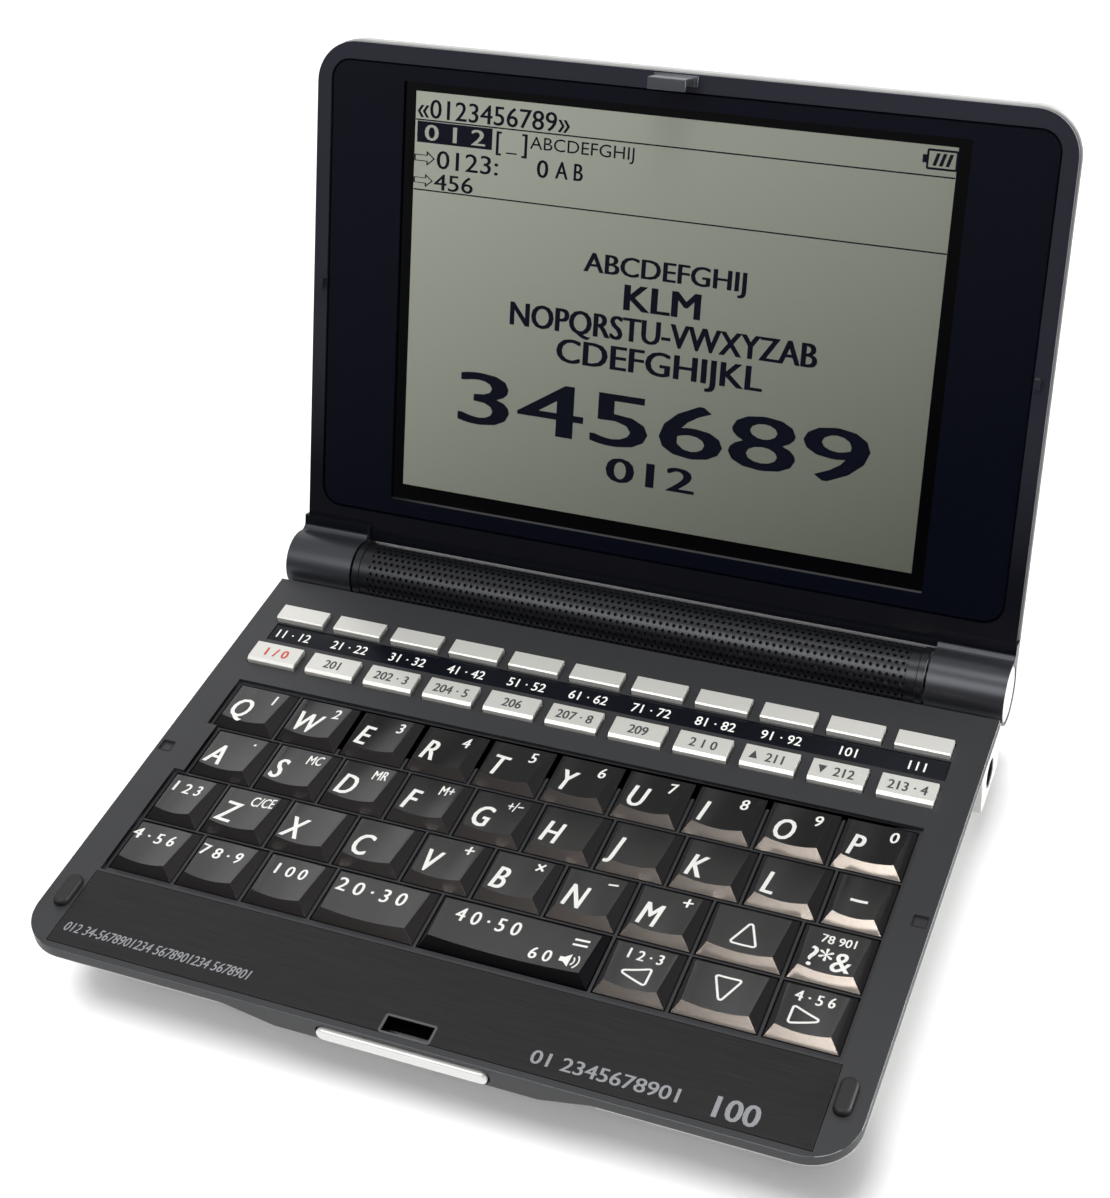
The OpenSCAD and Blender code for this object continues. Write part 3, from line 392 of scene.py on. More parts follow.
# The line round the slot runs a little outside it
LINE_HALF, LINE_OUT = SLOT_HALF / MM * 1.07, 0.2
slot_line = four_corners(-LINE_HALF, SLOT_FRONT / MM - LINE_OUT, LINE_HALF, SLOT_REAR / MM + LINE_OUT)
printed("slot_edge", "base", edge_tone, [outline(slot_line, 0.3, 0.25)], plate_place)
# The dark lines round the two notches are painted shadow
NOTCH_X, NOTCH_Y, NOTCH_HALF = DECK_HIGH.x / MM - 1.5, DECK_LOW.y / MM + 37.7, 0.95
notch_lines = [four_corners(x - NOTCH_HALF, NOTCH_Y - NOTCH_HALF, x + NOTCH_HALF, NOTCH_Y + NOTCH_HALF)
               for x in (-NOTCH_X, NOTCH_X)]
printed("notch_edges", "base", notch_painted_shadow, [outline(line, 0.16, 0.1) for line in notch_lines],
        Matrix.Translation((0, 0, DECK_TOP + PRINT_LIFT)))

# Silver keys
# Two rows of eleven small keys, moulded in ABS and sprayed silver, on rubber domes.
# Their tops are satin, and the lower row carries small dark numbers.
silver_key = finish("satin_silver_paint_on_key_abs", "#d0cfca", 0.3, metallic=0.35)
for node in ("upper_function_keys", "lower_function_keys"):
    dressed(node, node, silver_key, 0.16, steps=3)
lower_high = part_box("lower_function_keys")[1]
# The numbers stand on the keys' flat tops, whose middle lies this far from the rear, in mm
FLAT_MIDDLE = 2.05
key_mark_place = Matrix.Translation((0, lower_high.y - FLAT_MIDDLE * MM, lower_high.z + PRINT_LIFT))
marks = ["", "201", "202 · 3", "204 · 5", "206", "207 · 8", "209", "2 1 0", "   211", "   212", "213 · 4"]
printed("silver_key_numbers", "lower_function_keys", dark_ink,
        [shifted(lettering(words, 1.75, 0.82, 0.04), x, 0) for words, x in zip(marks, function_x) if words]
        + [solid_shape([(function_x[8] - 2.9, -0.7), (function_x[8] - 1.7, -0.7),
                        (function_x[8] - 2.3, 0.8)]),
           solid_shape([(function_x[9] - 2.9, 0.7), (function_x[9] - 2.3, -0.8),
                        (function_x[9] - 1.7, 0.7)])],
        key_mark_place)
printed("red_power_mark", "lower_function_keys", red_ink,
        [shifted(lettering("1 / 0", 1.75, 0.95, 0.06), function_x[0], 0)], key_mark_place)

# Black keys
# 38 letter and command keys, moulded in black ABS with a semi-gloss face.
# Each top is dished from side to side and slopes to the rear, and its signs are printed in white.
key_abs = finish("semi_gloss_black_abs", "#0d0d10", 0.25, grain=0.12, depth=0.0025)
# The fronts' deeper black is painted shade, and the flanks' lighter black is painted light
key_front_painted_shade = finish("worn_black_abs_front", "#050507", 0.24, ior=1.45, grain=0.17, depth=0.009)
key_flank_painted_light = finish("matt_black_abs_side", "#1b1b1e", 0.5)


def axes_of(tree):
    # X, Y and Z of a point of the piece, in metres
    spot = add(tree, "ShaderNodeTexCoord")
    return add(tree, "ShaderNodeSeparateXYZ", None, {"Vector": spot.outputs["Object"]}).outputs


# In front of the first row the keys are painted a slightly greyer black, as painted sheen
tree = key_abs.node_tree
front_rows_painted_sheen = add(tree, "ShaderNodeMapRange", None, {"Value": axes_of(tree)["Y"],
                                              "From Min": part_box("key_q")[0].y,
                                              "From Max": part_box("key_a")[0].y + 3 * MM})
tones = add(tree, "ShaderNodeValToRGB", None, {"Fac": front_rows_painted_sheen.outputs["Result"]})
for stop, colour in ((0, "#0d0d10"), (1, "#232324")):
    tones.color_ramp.elements[stop].color = linear(colour)
tree.links.new(tones.outputs["Color"], tree.nodes["Principled BSDF"].inputs["Base Color"])
# Measures of a key in mm, and where its signs stand, from its middle and its front edge
DISH_SAG, KEY_BEVEL, FRONT_RISE, REAR_RISE = 0.38, 1.0, 1.7, 1.05
FLANGE_LIP, SIDE_SLOPE = 0.36, 0.7
LETTER_X, LETTER_Y, LETTER_H = -3.2, 3.6, 4.3
SMALL_X, SMALL_Y, SMALL_H = 2.3, 6.35, 2.15


def key_face(node):
    # The height of a key's dished top over its own centre line and front edge, in mm
    low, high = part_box(node)
    half_top = (high.x - low.x) / 2 / MM - FLANGE_LIP - SIDE_SLOPE * FRONT_RISE
    radius = (half_top ** 2 + DISH_SAG ** 2) / (2 * DISH_SAG)
    length = (high.y - low.y) / MM
    slope = (FRONT_RISE - REAR_RISE) / (length - 2 * KEY_BEVEL)

    def height(x, y):
        return -DISH_SAG - (y - KEY_BEVEL) * slope + x * x / (2 * radius)
    place = Matrix.Translation(((low.x + high.x) / 2, low.y, high.z + INK_T * MM * 0.3))
    return height, place


def letter(text):
    return shifted(lettering(text, LETTER_H, 0.6, 0.09, 0.16, "LEFT"), LETTER_X, LETTER_Y)


def small(text, x=SMALL_X, y=SMALL_Y, height=SMALL_H, width=0.85, bold=0.05, slant=0.0):
    return shifted(lettering(text, height, width, bold, slant), x, y)


def arrow(x, y, turn, half_base=1.75, length=4.3):
    # A hollow triangle whose tip points up before it is turned
    corners = [(-half_base, -length / 2), (half_base, -length / 2), (0, length / 2)]
    rotation = Matrix.Rotation(math.radians(turn), 2)
    return shifted(outline([rotation @ Vector(c) for c in corners], 0.3, 0.3), x, y)


def sound_wave(x, y, radius):
    angles = [math.radians(a) for a in range(-46, 47, 12)]
    arcs = [[(x + r * math.cos(a), y + r * math.sin(a)) for a in angles] for r in (radius, radius - 0.2)]
    return solid_shape(arcs[0] + arcs[1][::-1])


signs = {"key_dash": [small("−", 0, 4.0, 4.0, 0.8, 0.1)],
         "key_up": [arrow(0, 4.3, 0)], "key_down": [arrow(0, 4.4, 180)],
         "key_left": [arrow(-0.4, 3.3, 90, 1.5, 4.0), small("1 2 · 3", 0, 6.6, 1.8, 0.8)],
         "key_right": [arrow(-0.2, 3.3, -90, 1.5, 4.0), small("4 · 5 6", 0, 6.6, 1.8, 0.8)],
         "key_symbol": [small("?*&", -0.1, 3.2, 3.6, 0.86, 0.05),
                        spanned("78 901", -2.0, 2.4, 6.6, 1.5, 0.03)],
         "key_shift": [small("1 2 3", -0.4, 5.9, 2.1, 0.8)],
         "key_menu": [small("4 · 5 6", -0.8, 5.9, 2.1, 0.85)],
         "key_copy": [small("7 8 · 9", -0.6, 5.9, 2.1, 0.85)],
         "key_jump": [small("1 0 0", -0.4, 5.9, 2.1)],
         "key_back": [small("2 0 · 3 0", -1.0, 5.9, 2.5, 0.87)],
         "key_enter": [small("4 0 · 5 0", -4.0, 5.9, 2.5, 0.78), small("=", 8.8, 6.0, 3.0, 1.0),
                       small("6 0", 4.5, 2.7, 2.1),
                       solid_shape([(7.1, 2.3), (7.7, 2.3), (8.5, 1.6), (8.5, 3.8), (7.7, 3.1), (7.1, 3.1)]),
                       sound_wave(8.1, 2.7, 1.1), sound_wave(8.1, 2.7, 1.7)]}
for name, digit in zip("qwertyuiop", "1234567890"):
    signs["key_" + name] = [letter(name.upper()), small(digit)]
for name in "asdfghjklzxcvbnm":
    signs["key_" + name] = [letter(name.upper())]
for name, mark in (("a", "·"), ("s", "MC"), ("d", "MR"), ("f", "M+"), ("g", "+/−"), ("z", "C/CE"),
                   ("v", "+"), ("b", "×"), ("n", "−"), ("m", "+")):
    if len(mark) > 1:
        signs["key_" + name].append(small(mark, 1.9, SMALL_Y + 0.2, 2.0, 0.62, 0.03))
    else:
        signs["key_" + name].append(small(mark, SMALL_X, SMALL_Y + 0.5, 2.4))
for node, meshes in signs.items():
    key = dressed(node, node, key_abs, 0.13, steps=3, angle=20)
    # The flanks are matt and painted a lighter black as painted light, and the fronts are painted a deeper
    # black as painted shade
    key.data.materials.append(key_flank_painted_light)
    key.data.materials.append(key_front_painted_shade)
    for face in key.data.polygons:
        if abs(face.normal.x) > 0.5:
            face.material_index = 1
        elif face.normal.y < -0.5:
            face.material_index = 2
    height, place = key_face(node)
    printed(node + "_print", node, white_ink, meshes, place, surface=height)

# Rubber pads, screws and latch bar
# Soft black rubber pads keep the lid off the deck, and four more are the feet.
# The release bar is ABS with a bright silver plating; the screws are plated steel.
rubber = finish("black_silicone_rubber", "#0f0f10", 0.6)
dressed("rubber_pads", "base", rubber, 0.45, steps=4)
steel = finish("plated_screw_steel", "#9a9b9e", 0.3, metallic=1.0)
plated = finish("bright_silver_plating_on_abs", "#dededc", 0.22, metallic=0.35)
latch_carriage_shade = finish("blackened_latch_steel", "#030303", 0.8, ior=1.02)
bar = dressed("latch_button", "latch_button", plated, 0.3, steps=4)
# The carriage behind the bar is painted near-black as painted shade, so that the hook's slot looks dark
bar.data.materials.append(latch_carriage_shade)
BAR_T = 0.8 * MM
for face in bar.data.polygons:
    if face.center.y > DECK_LOW.y + BAR_T / 2:
        face.material_index = 1

# Inside of the base
# Dome sheet, board, cells, speaker, pins and screws, which show only when the object is opened up.
board_green = finish("green_solder_mask_on_laminate", "#2f6b45", 0.35)
socket_black = finish("black_socket_nylon", "#121214", 0.5)
sheet_grey = finish("grey_silicone_sheet", "#8d8f92", 0.6)
cell_sleeve = finish("printed_cell_sleeve", "#46525a", 0.35)
speaker_black = finish("black_speaker_moulding", "#323234", 0.5)
inner = (("dome_sheet", sheet_grey), ("circuit_board", board_green), ("batteries", cell_sleeve),
         ("speaker", speaker_black), ("hinge_pins", steel), ("case_screws", steel))
for node, material in inner:
    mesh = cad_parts[node].data
    mesh.materials.clear()
    mesh.materials.append(material)
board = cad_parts["circuit_board"].data
board.materials.append(socket_black)
# The socket is at the board's right end, behind this line
SOCKET_FROM, SOCKET_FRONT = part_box("circuit_board")[1].x - 13.2 * MM, 8 * MM
for face in board.polygons:
    if face.center.x > SOCKET_FROM and face.center.y > SOCKET_FRONT:
        face.material_index = 1

# Speaker tube
# Thin steel sheet, punched with half-millimetre holes, rolled into a tube and painted dark.
# It is fixed to the base between the lid's knuckles and has a plain collar at each end.
tube_paint = finish("dark_metallic_paint_on_steel", "#1e1f23", 0.28, metallic=0.5)
tube_low, tube_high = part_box("speaker_grille")
AXIS_Y, AXIS_Z = (tube_low.y + tube_high.y) / 2, (tube_low.z + tube_high.z) / 2
# The tube's measures in mm: its size and collars, its sheet, its lining, its holes and where they begin
TUBE_HALF, TUBE_R, COLLAR_R, COLLAR_W = tube_high.x / MM, 4.3, 4.5, 1.2
SHEET_T, COLLAR_BORE, CHAMFER = 0.4, 2.0, 0.12
LINING_IN, LINING_OUT, END_PLAIN = 3.7, 3.86, 0.6
HOLE_D, HOLE_PITCH, HOLE_SIDES, ROW_COUNT = 0.56, 1.02, 12, 13
FIRST_ANGLE, LAST_ANGLE = 32.0, 201.0


def turned_piece(name, profile, material, body, first=0.0, last=360.0, count=96):
    # A solid turned round the hinge axis from one angle to another: profile is a closed line of
    # (x, radius) in mm
    whole = last - first >= 360
    start, sweep = math.radians(first), math.radians(last - first)
    shape = bmesh.new()
    rows = []
    for i in range(count if whole else count + 1):
        a = start + sweep * i / count
        rows.append([shape.verts.new((x * MM, AXIS_Y + r * MM * math.cos(a), AXIS_Z + r * MM * math.sin(a)))
                     for x, r in profile])
    for i in range(count):
        a, b = rows[i], rows[(i + 1) % len(rows)]
        for k in range(len(profile)):
            m = (k + 1) % len(profile)
            shape.faces.new((a[k], a[m], b[m], b[k]))
    if not whole:
        shape.faces.new(rows[0])
        shape.faces.new(rows[-1])
    mesh = as_mesh(shape, name, True)
    mesh.materials.append(material)
    smooth(mesh, 35)
    piece = bpy.data.objects.new(name, mesh)
    bpy.context.scene.collection.objects.link(piece)
    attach(piece, body)
    return piece


# One cell of the punched sheet: a square of steel round one hole, with the hole's wall
SPAN = TUBE_HALF - COLLAR_W - END_PLAIN
COLUMNS = int(2 * SPAN / HOLE_PITCH)
ROW_STEP = math.radians(LAST_ANGLE - FIRST_ANGLE) / ROW_COUNT
NEAR = 1e-6
cell_shape = bmesh.new()
rim, wall, border = [], [], []
half_x, half_y = HOLE_PITCH / 2, ROW_STEP * TUBE_R / 2
for k in range(HOLE_SIDES):
    a = 2 * math.pi * (k + 0.5) / HOLE_SIDES
    c, s = math.cos(a), math.sin(a)
    rim.append(cell_shape.verts.new((c * HOLE_D / 2, s * HOLE_D / 2, 0)))
    wall.append(cell_shape.verts.new((c * HOLE_D / 2, s * HOLE_D / 2, -SHEET_T)))
    reach = min(half_x / abs(c), half_y / abs(s))
    border.append(cell_shape.verts.new((c * reach, s * reach, 0)))
corners = [cell_shape.verts.new((x * half_x, y * half_y, 0)) for x, y in ((1, 1), (-1, 1), (-1, -1), (1, -1))]
for k in range(HOLE_SIDES):
    m = (k + 1) % HOLE_SIDES
    cell_shape.faces.new((rim[k], rim[m], wall[m], wall[k]))
    a, b = border[k].co, border[m].co
    between = [v for v in corners if abs(a.x - b.x) > NEAR and abs(a.y - b.y) > NEAR
               and min(a.x, b.x) - NEAR <= v.co.x <= max(a.x, b.x) + NEAR
               and min(a.y, b.y) - NEAR <= v.co.y <= max(a.y, b.y) + NEAR]
    cell_shape.faces.new([border[k]] + between + [border[m], rim[m], rim[k]])
cell_mesh = as_mesh(cell_shape, "punched_cell", True)
if max(p.normal.z for p in cell_mesh.polygons) < 0.5:
    cell_mesh.flip_normals()
cell = bpy.data.objects.new("punched_cell", cell_mesh)
bpy.context.scene.collection.objects.link(cell)

# The tree lays the cells in rows, each shifted by half a pitch, and rolls the sheet round the hinge axis
punched = bpy.data.node_groups.new("punched_tube", "GeometryNodeTree")
punched.interface.new_socket("Geometry", in_out="OUTPUT", socket_type="NodeSocketGeometry")
inputs = {}
for label, kind, value in (("Cell", "NodeSocketObject", None), ("Columns", "NodeSocketInt", COLUMNS),
                           ("Rows", "NodeSocketInt", ROW_COUNT), ("Pitch", "NodeSocketFloat", HOLE_PITCH),
                           ("Row step", "NodeSocketFloat", ROW_STEP),
                           ("First angle", "NodeSocketFloat", math.radians(FIRST_ANGLE)),
                           ("Tube radius", "NodeSocketFloat", TUBE_R),
                           ("Axis Y", "NodeSocketFloat", AXIS_Y / MM),
                           ("Axis Z", "NodeSocketFloat", AXIS_Z / MM), ("Paint", "NodeSocketMaterial", None)):
    socket = punched.interface.new_socket(label, in_out="INPUT", socket_type=kind)
    if value is not None:
        socket.default_value = value
    inputs[label] = socket.identifier
source = add(punched, "NodeGroupInput")
asked = source.outputs
total = add(punched, "ShaderNodeMath", {"operation": "MULTIPLY"}, {0: asked["Columns"], 1: asked["Rows"]})
points = add(punched, "GeometryNodeMeshLine", None, {"Count": total.outputs[0]})
number = add(punched, "GeometryNodeInputIndex")
part = add(punched, "ShaderNodeMath", {"operation": "DIVIDE"}, {0: number.outputs[0], 1: asked["Columns"]})
row = add(punched, "ShaderNodeMath", {"operation": "FLOOR"}, {0: part.outputs[0]})
column = add(punched, "ShaderNodeMath", {"operation": "MODULO"}, {0: number.outputs[0], 1: asked["Columns"]})
odd = add(punched, "ShaderNodeMath", {"operation": "MODULO"}, {0: row.outputs[0], 1: 2.0})
shift = add(punched, "ShaderNodeMath", {"operation": "MULTIPLY_ADD"},
            {0: odd.outputs[0], 1: 0.5, 2: column.outputs[0]})
middle = add(punched, "ShaderNodeMath", {"operation": "MULTIPLY"}, {0: asked["Columns"], 1: 0.5})
centred = add(punched, "ShaderNodeMath", {"operation": "SUBTRACT"},
              {0: shift.outputs[0], 1: middle.outputs[0]})
along = add(punched, "ShaderNodeMath", {"operation": "MULTIPLY"},
            {0: centred.outputs[0], 1: asked["Pitch"]})
row_middle = add(punched, "ShaderNodeMath", {"operation": "ADD"}, {0: row.outputs[0], 1: 0.5})
row_angle = add(punched, "ShaderNodeMath", {"operation": "MULTIPLY"},
                {0: row_middle.outputs[0], 1: asked["Row step"]})
arc = add(punched, "ShaderNodeMath", {"operation": "MULTIPLY"},
          {0: row_angle.outputs[0], 1: asked["Tube radius"]})
flat = add(punched, "ShaderNodeCombineXYZ", None, {"X": along.outputs[0], "Y": arc.outputs[0]})
laid = add(punched, "GeometryNodeSetPosition", None,
           {"Geometry": points.outputs["Mesh"], "Position": flat.outputs[0]})
shape_of = add(punched, "GeometryNodeObjectInfo", None, {"Object": asked["Cell"]})
copies = add(punched, "GeometryNodeInstanceOnPoints", None,
             {"Points": laid.outputs["Geometry"], "Instance": shape_of.outputs["Geometry"]})
real = add(punched, "GeometryNodeRealizeInstances", None, {"Geometry": copies.outputs["Instances"]})
where = add(punched, "GeometryNodeInputPosition")
split = add(punched, "ShaderNodeSeparateXYZ", None, {"Vector": where.outputs[0]})
turn = add(punched, "ShaderNodeMath", {"operation": "DIVIDE"},
           {0: split.outputs["Y"], 1: asked["Tube radius"]})
angle = add(punched, "ShaderNodeMath", {"operation": "ADD"}, {0: turn.outputs[0], 1: asked["First angle"]})
reach = add(punched, "ShaderNodeMath", {"operation": "ADD"}, {0: split.outputs["Z"], 1: asked["Tube radius"]})
cosine = add(punched, "ShaderNodeMath", {"operation": "COSINE"}, {0: angle.outputs[0]})
sine = add(punched, "ShaderNodeMath", {"operation": "SINE"}, {0: angle.outputs[0]})
depth = add(punched, "ShaderNodeMath", {"operation": "MULTIPLY_ADD"},
            {0: cosine.outputs[0], 1: reach.outputs[0], 2: asked["Axis Y"]})
height = add(punched, "ShaderNodeMath", {"operation": "MULTIPLY_ADD"},
             {0: sine.outputs[0], 1: reach.outputs[0], 2: asked["Axis Z"]})
rolled = add(punched, "ShaderNodeCombineXYZ", None,
             {"X": split.outputs["X"], "Y": depth.outputs[0], "Z": height.outputs[0]})
metres = add(punched, "ShaderNodeVectorMath", {"operation": "SCALE"}, {0: rolled.outputs[0], "Scale": MM})
moved = add(punched, "GeometryNodeSetPosition", None,
            {"Geometry": real.outputs["Geometry"], "Position": metres.outputs[0]})
merged = add(punched, "GeometryNodeMergeByDistance", None,
             {"Geometry": moved.outputs["Geometry"], "Distance": 0.004 * MM})
painted = add(punched, "GeometryNodeSetMaterial", None,
              {"Geometry": merged.outputs["Geometry"], "Material": asked["Paint"]})
add(punched, "NodeGroupOutput", None, {0: painted.outputs["Geometry"]})

holder = bpy.data.objects.new("punched_holder", bpy.data.meshes.new("punched_holder"))
bpy.context.scene.collection.objects.link(holder)
roll = holder.modifiers.new("punched", "NODES")
roll.node_group = punched
roll[inputs["Cell"]] = cell
roll[inputs["Paint"]] = tube_paint
tube_mesh = applied(holder)
bpy.data.objects.remove(holder)
bpy.data.objects.remove(cell)
punched_tube = bpy.data.objects.new("punched_tube", tube_mesh)
bpy.context.scene.collection.objects.link(punched_tube)
smooth(tube_mesh, 40)
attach(punched_tube, "base")
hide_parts("speaker_grille")

# The lining is black cloth behind the holes. The collars, the plain ends of the sheet and its plain back
# are turned, and they overlap the punched part a little
END_LAP, COLLAR_LAP, BACK_LAP = 0.9, 0.2, 0.5
lining_cloth = finish("black_acoustic_cloth", "#0b0b0c", 0.9)
turned_piece("tube_lining", four_corners(-SPAN, LINING_IN, SPAN, LINING_OUT), lining_cloth, "base")
for side, hand in ((-1, "left"), (1, "right")):
    inner_x, outer_x = side * (TUBE_HALF - COLLAR_W), side * TUBE_HALF
    turned_piece("tube_collar_" + hand,
                 [(inner_x, COLLAR_BORE), (inner_x, COLLAR_R - CHAMFER),
                  (inner_x + side * CHAMFER, COLLAR_R), (outer_x - side * CHAMFER, COLLAR_R),
                  (outer_x, COLLAR_R - CHAMFER), (outer_x, COLLAR_BORE)],
                 tube_paint, "base")
    turned_piece("tube_end_" + hand,
                 [(side * (SPAN - END_LAP), TUBE_R - SHEET_T), (side * (SPAN - END_LAP), TUBE_R),
                  (inner_x + side * COLLAR_LAP, TUBE_R), (inner_x + side * COLLAR_LAP, TUBE_R - SHEET_T)],
                 tube_paint, "base")
back_x = SPAN + BACK_LAP
turned_piece("tube_back",
             [(-back_x, TUBE_R), (back_x, TUBE_R), (back_x, TUBE_R - SHEET_T), (-back_x, TUBE_R - SHEET_T)],
             tube_paint, "base", LAST_ANGLE, 360 + FIRST_ANGLE, 60)

# Lid shell and frame
# The back is ABS sprayed silver like the case. The frame round the window is dark satin ABS,
# and its two knuckles turn on the pins of the speaker tube.
dressed("lid_back_cover", "lid", silver_lacquer, 0.3)
lid_dark = finish("satin_blue_black_abs", "#202028", 0.18, ior=1.48)
# The frame's foot is painted darker and duller than the rest as painted shade from the base, and changes
# between these heights in metres
FOOT_LOW, FOOT_HIGH = 0.026, 0.045
tree = lid_dark.node_tree
up = axes_of(tree)["Z"]
tones = add(tree, "ShaderNodeValToRGB", None, {"Fac": up})
for stop, position, colour in ((0, FOOT_LOW, "#0c0d13"), (1, FOOT_HIGH, "#26262f")):
    tones.color_ramp.elements[stop].position = position
    tones.color_ramp.elements[stop].color = linear(colour)
tree.links.new(tones.outputs["Color"], tree.nodes["Principled BSDF"].inputs["Base Color"])
foot_painted_shade_gloss = add(tree, "ShaderNodeMapRange", None, {"Value": up, "From Min": FOOT_LOW, "From Max": FOOT_HIGH,
                                               "To Min": 0.12, "To Max": 0.5})
tree.links.new(foot_painted_shade_gloss.outputs["Result"], tree.nodes["Principled BSDF"].inputs["Specular IOR Level"])
bezel = dressed("lid_bezel", "lid", lid_dark, 0.3, steps=3)
# The two knuckles are painted a satin metallic like the tube between them, in a lighter grey as painted
# highlight
KNUCKLE_REACH = 5.4 * MM
bezel.data.materials.append(finish("satin_dark_paint_on_knuckles", "#35363b", 0.34, metallic=0.5))
for face in bezel.data.polygons:
    if math.hypot(face.center.y - AXIS_Y, face.center.z - AXIS_Z) < KNUCKLE_REACH:
        face.material_index = 1
dressed("hinge_caps", "lid", plated, 0.15, steps=3)
hook_steel = finish("satin_pressed_steel", "#5c5e63", 0.32, metallic=0.9)
dressed("lid_hook", "lid", hook_steel, 0.12, steps=3)

# Window
# A flat acrylic plate, printed navy black on the back except over the display.
# The clear part is left open here, and the display's own smooth finish gives its gloss.

# Measures on the lid are in mm from the hinge axis, up the lid and out of its face
LID_TURN = math.radians(68.2)
LID_PLACE = Matrix.Translation((0, AXIS_Y, AXIS_Z)) @ Matrix.Rotation(LID_TURN, 4, "X")
WINDOW_FACE, WINDOW_T, WINDOW_EDGE = -2.53, 0.85, 0.22
WINDOW_HALF, WINDOW_LOW, WINDOW_HIGH, WINDOW_R = 53.9, 8.97, 78.17, 3.0
CLEAR_HALF, CLEAR_LOW, CLEAR_HIGH, CLEAR_R = 42.1, 11.6, 75.8, 0.15
window_gloss = finish("navy_black_printed_acrylic", "#090b15", 0.045, ior=1.49)


def rounded_corners(half, low, high, radius, steps=8):
    # A rectangle's outline with round corners, against the clock
    points = []
    for cx, cy, start in ((half - radius, high - radius, 0), (radius - half, high - radius, 90),
                          (radius - half, low + radius, 180), (half - radius, low + radius, 270)):
        for k in range(steps + 1):
            a = math.radians(start + 90 * k / steps)
            points.append((cx + radius * math.cos(a), cy + radius * math.sin(a)))
    return points


outer_line = rounded_corners(WINDOW_HALF, WINDOW_LOW, WINDOW_HIGH, WINDOW_R)
inner_line = rounded_corners(CLEAR_HALF, CLEAR_LOW, CLEAR_HIGH, CLEAR_R)
edge_line = rounded_corners(WINDOW_HALF - WINDOW_EDGE, WINDOW_LOW + WINDOW_EDGE, WINDOW_HIGH - WINDOW_EDGE,
                            WINDOW_R - WINDOW_EDGE)
window_mesh = band(outer_line, inner_line, WINDOW_T, edge_line, WINDOW_EDGE)
window_middle = Matrix.Translation((0, 0, WINDOW_FACE - WINDOW_T / 2))
window_mesh.transform(LID_PLACE @ Matrix.Scale(MM, 4) @ window_middle)
window_mesh.materials.append(window_gloss)
window = bpy.data.objects.new("window_border", window_mesh)
bpy.context.scene.collection.objects.link(window)
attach(window, "lid")
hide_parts("display_window")

# Display
# A monochrome liquid crystal panel behind the window: grey-green glass with dark navy dots.
# It shows plain numbers and letters, rules and a battery sign.
PICTURE_HALF, PICTURE_LOW, PICTURE_HIGH = 40.25, 14.17, 74.52
# Where the screen lies in the lid, and how far the mask and the signs lie from it, in mm
SCREEN_Z, MASK_DROP, SIGN_LIFT, PALE_LIFT = -2.95, 0.14, 0.012, 0.03
MASK_T, MASK_LAP, PICTURE_T = 0.2, 0.3, 0.04
crystal = finish("grey_green_liquid_crystal", "#8f9287", 0.12)
pixel_dark = finish("dark_crystal_dots", "#0b0e1a", 0.1)
black_mask = finish("black_display_mask", "#020203", 0.08)
# The crystal is painted darker from the upper left corner to the lower right one, as a painted fall of light.
# LEAN is the rise of the leaning screen per mm of its length, and START brings the upper left corner to the
# first tone
LEAN, START = 0.93, 0.485
tree = crystal.node_tree
axes = axes_of(tree)
across = add(tree, "ShaderNodeMath", {"operation": "MULTIPLY_ADD"},
             {0: axes["X"], 1: 0.5 / (2 * PICTURE_HALF * MM), 2: 0.5})
crystal_painted_falloff = add(tree, "ShaderNodeMath", {"operation": "MULTIPLY_ADD"},
           {0: axes["Z"], 1: -0.5 / ((PICTURE_HIGH - PICTURE_LOW) * LEAN * MM), 2: across.outputs[0]})
crystal_painted_falloff = add(tree, "ShaderNodeMath", {"operation": "ADD"}, {0: crystal_painted_falloff.outputs[0], 1: START})
tones = add(tree, "ShaderNodeValToRGB", None, {"Fac": crystal_painted_falloff.outputs[0]})
for stop, colour in ((0, "#9ca094"), (1, "#5d6056")):
    tones.color_ramp.elements[stop].color = linear(colour)
tree.links.new(tones.outputs["Color"], tree.nodes["Principled BSDF"].inputs["Base Color"])


def lid_print(name, meshes, material, z):
    return printed(name, "lid", material, meshes, LID_PLACE @ Matrix.Translation((0, 0, z * MM)))


def rectangle(x0, y0, x1, y1, thick=INK_T):
    return solid_shape(four_corners(x0, y0, x1, y1), thick)


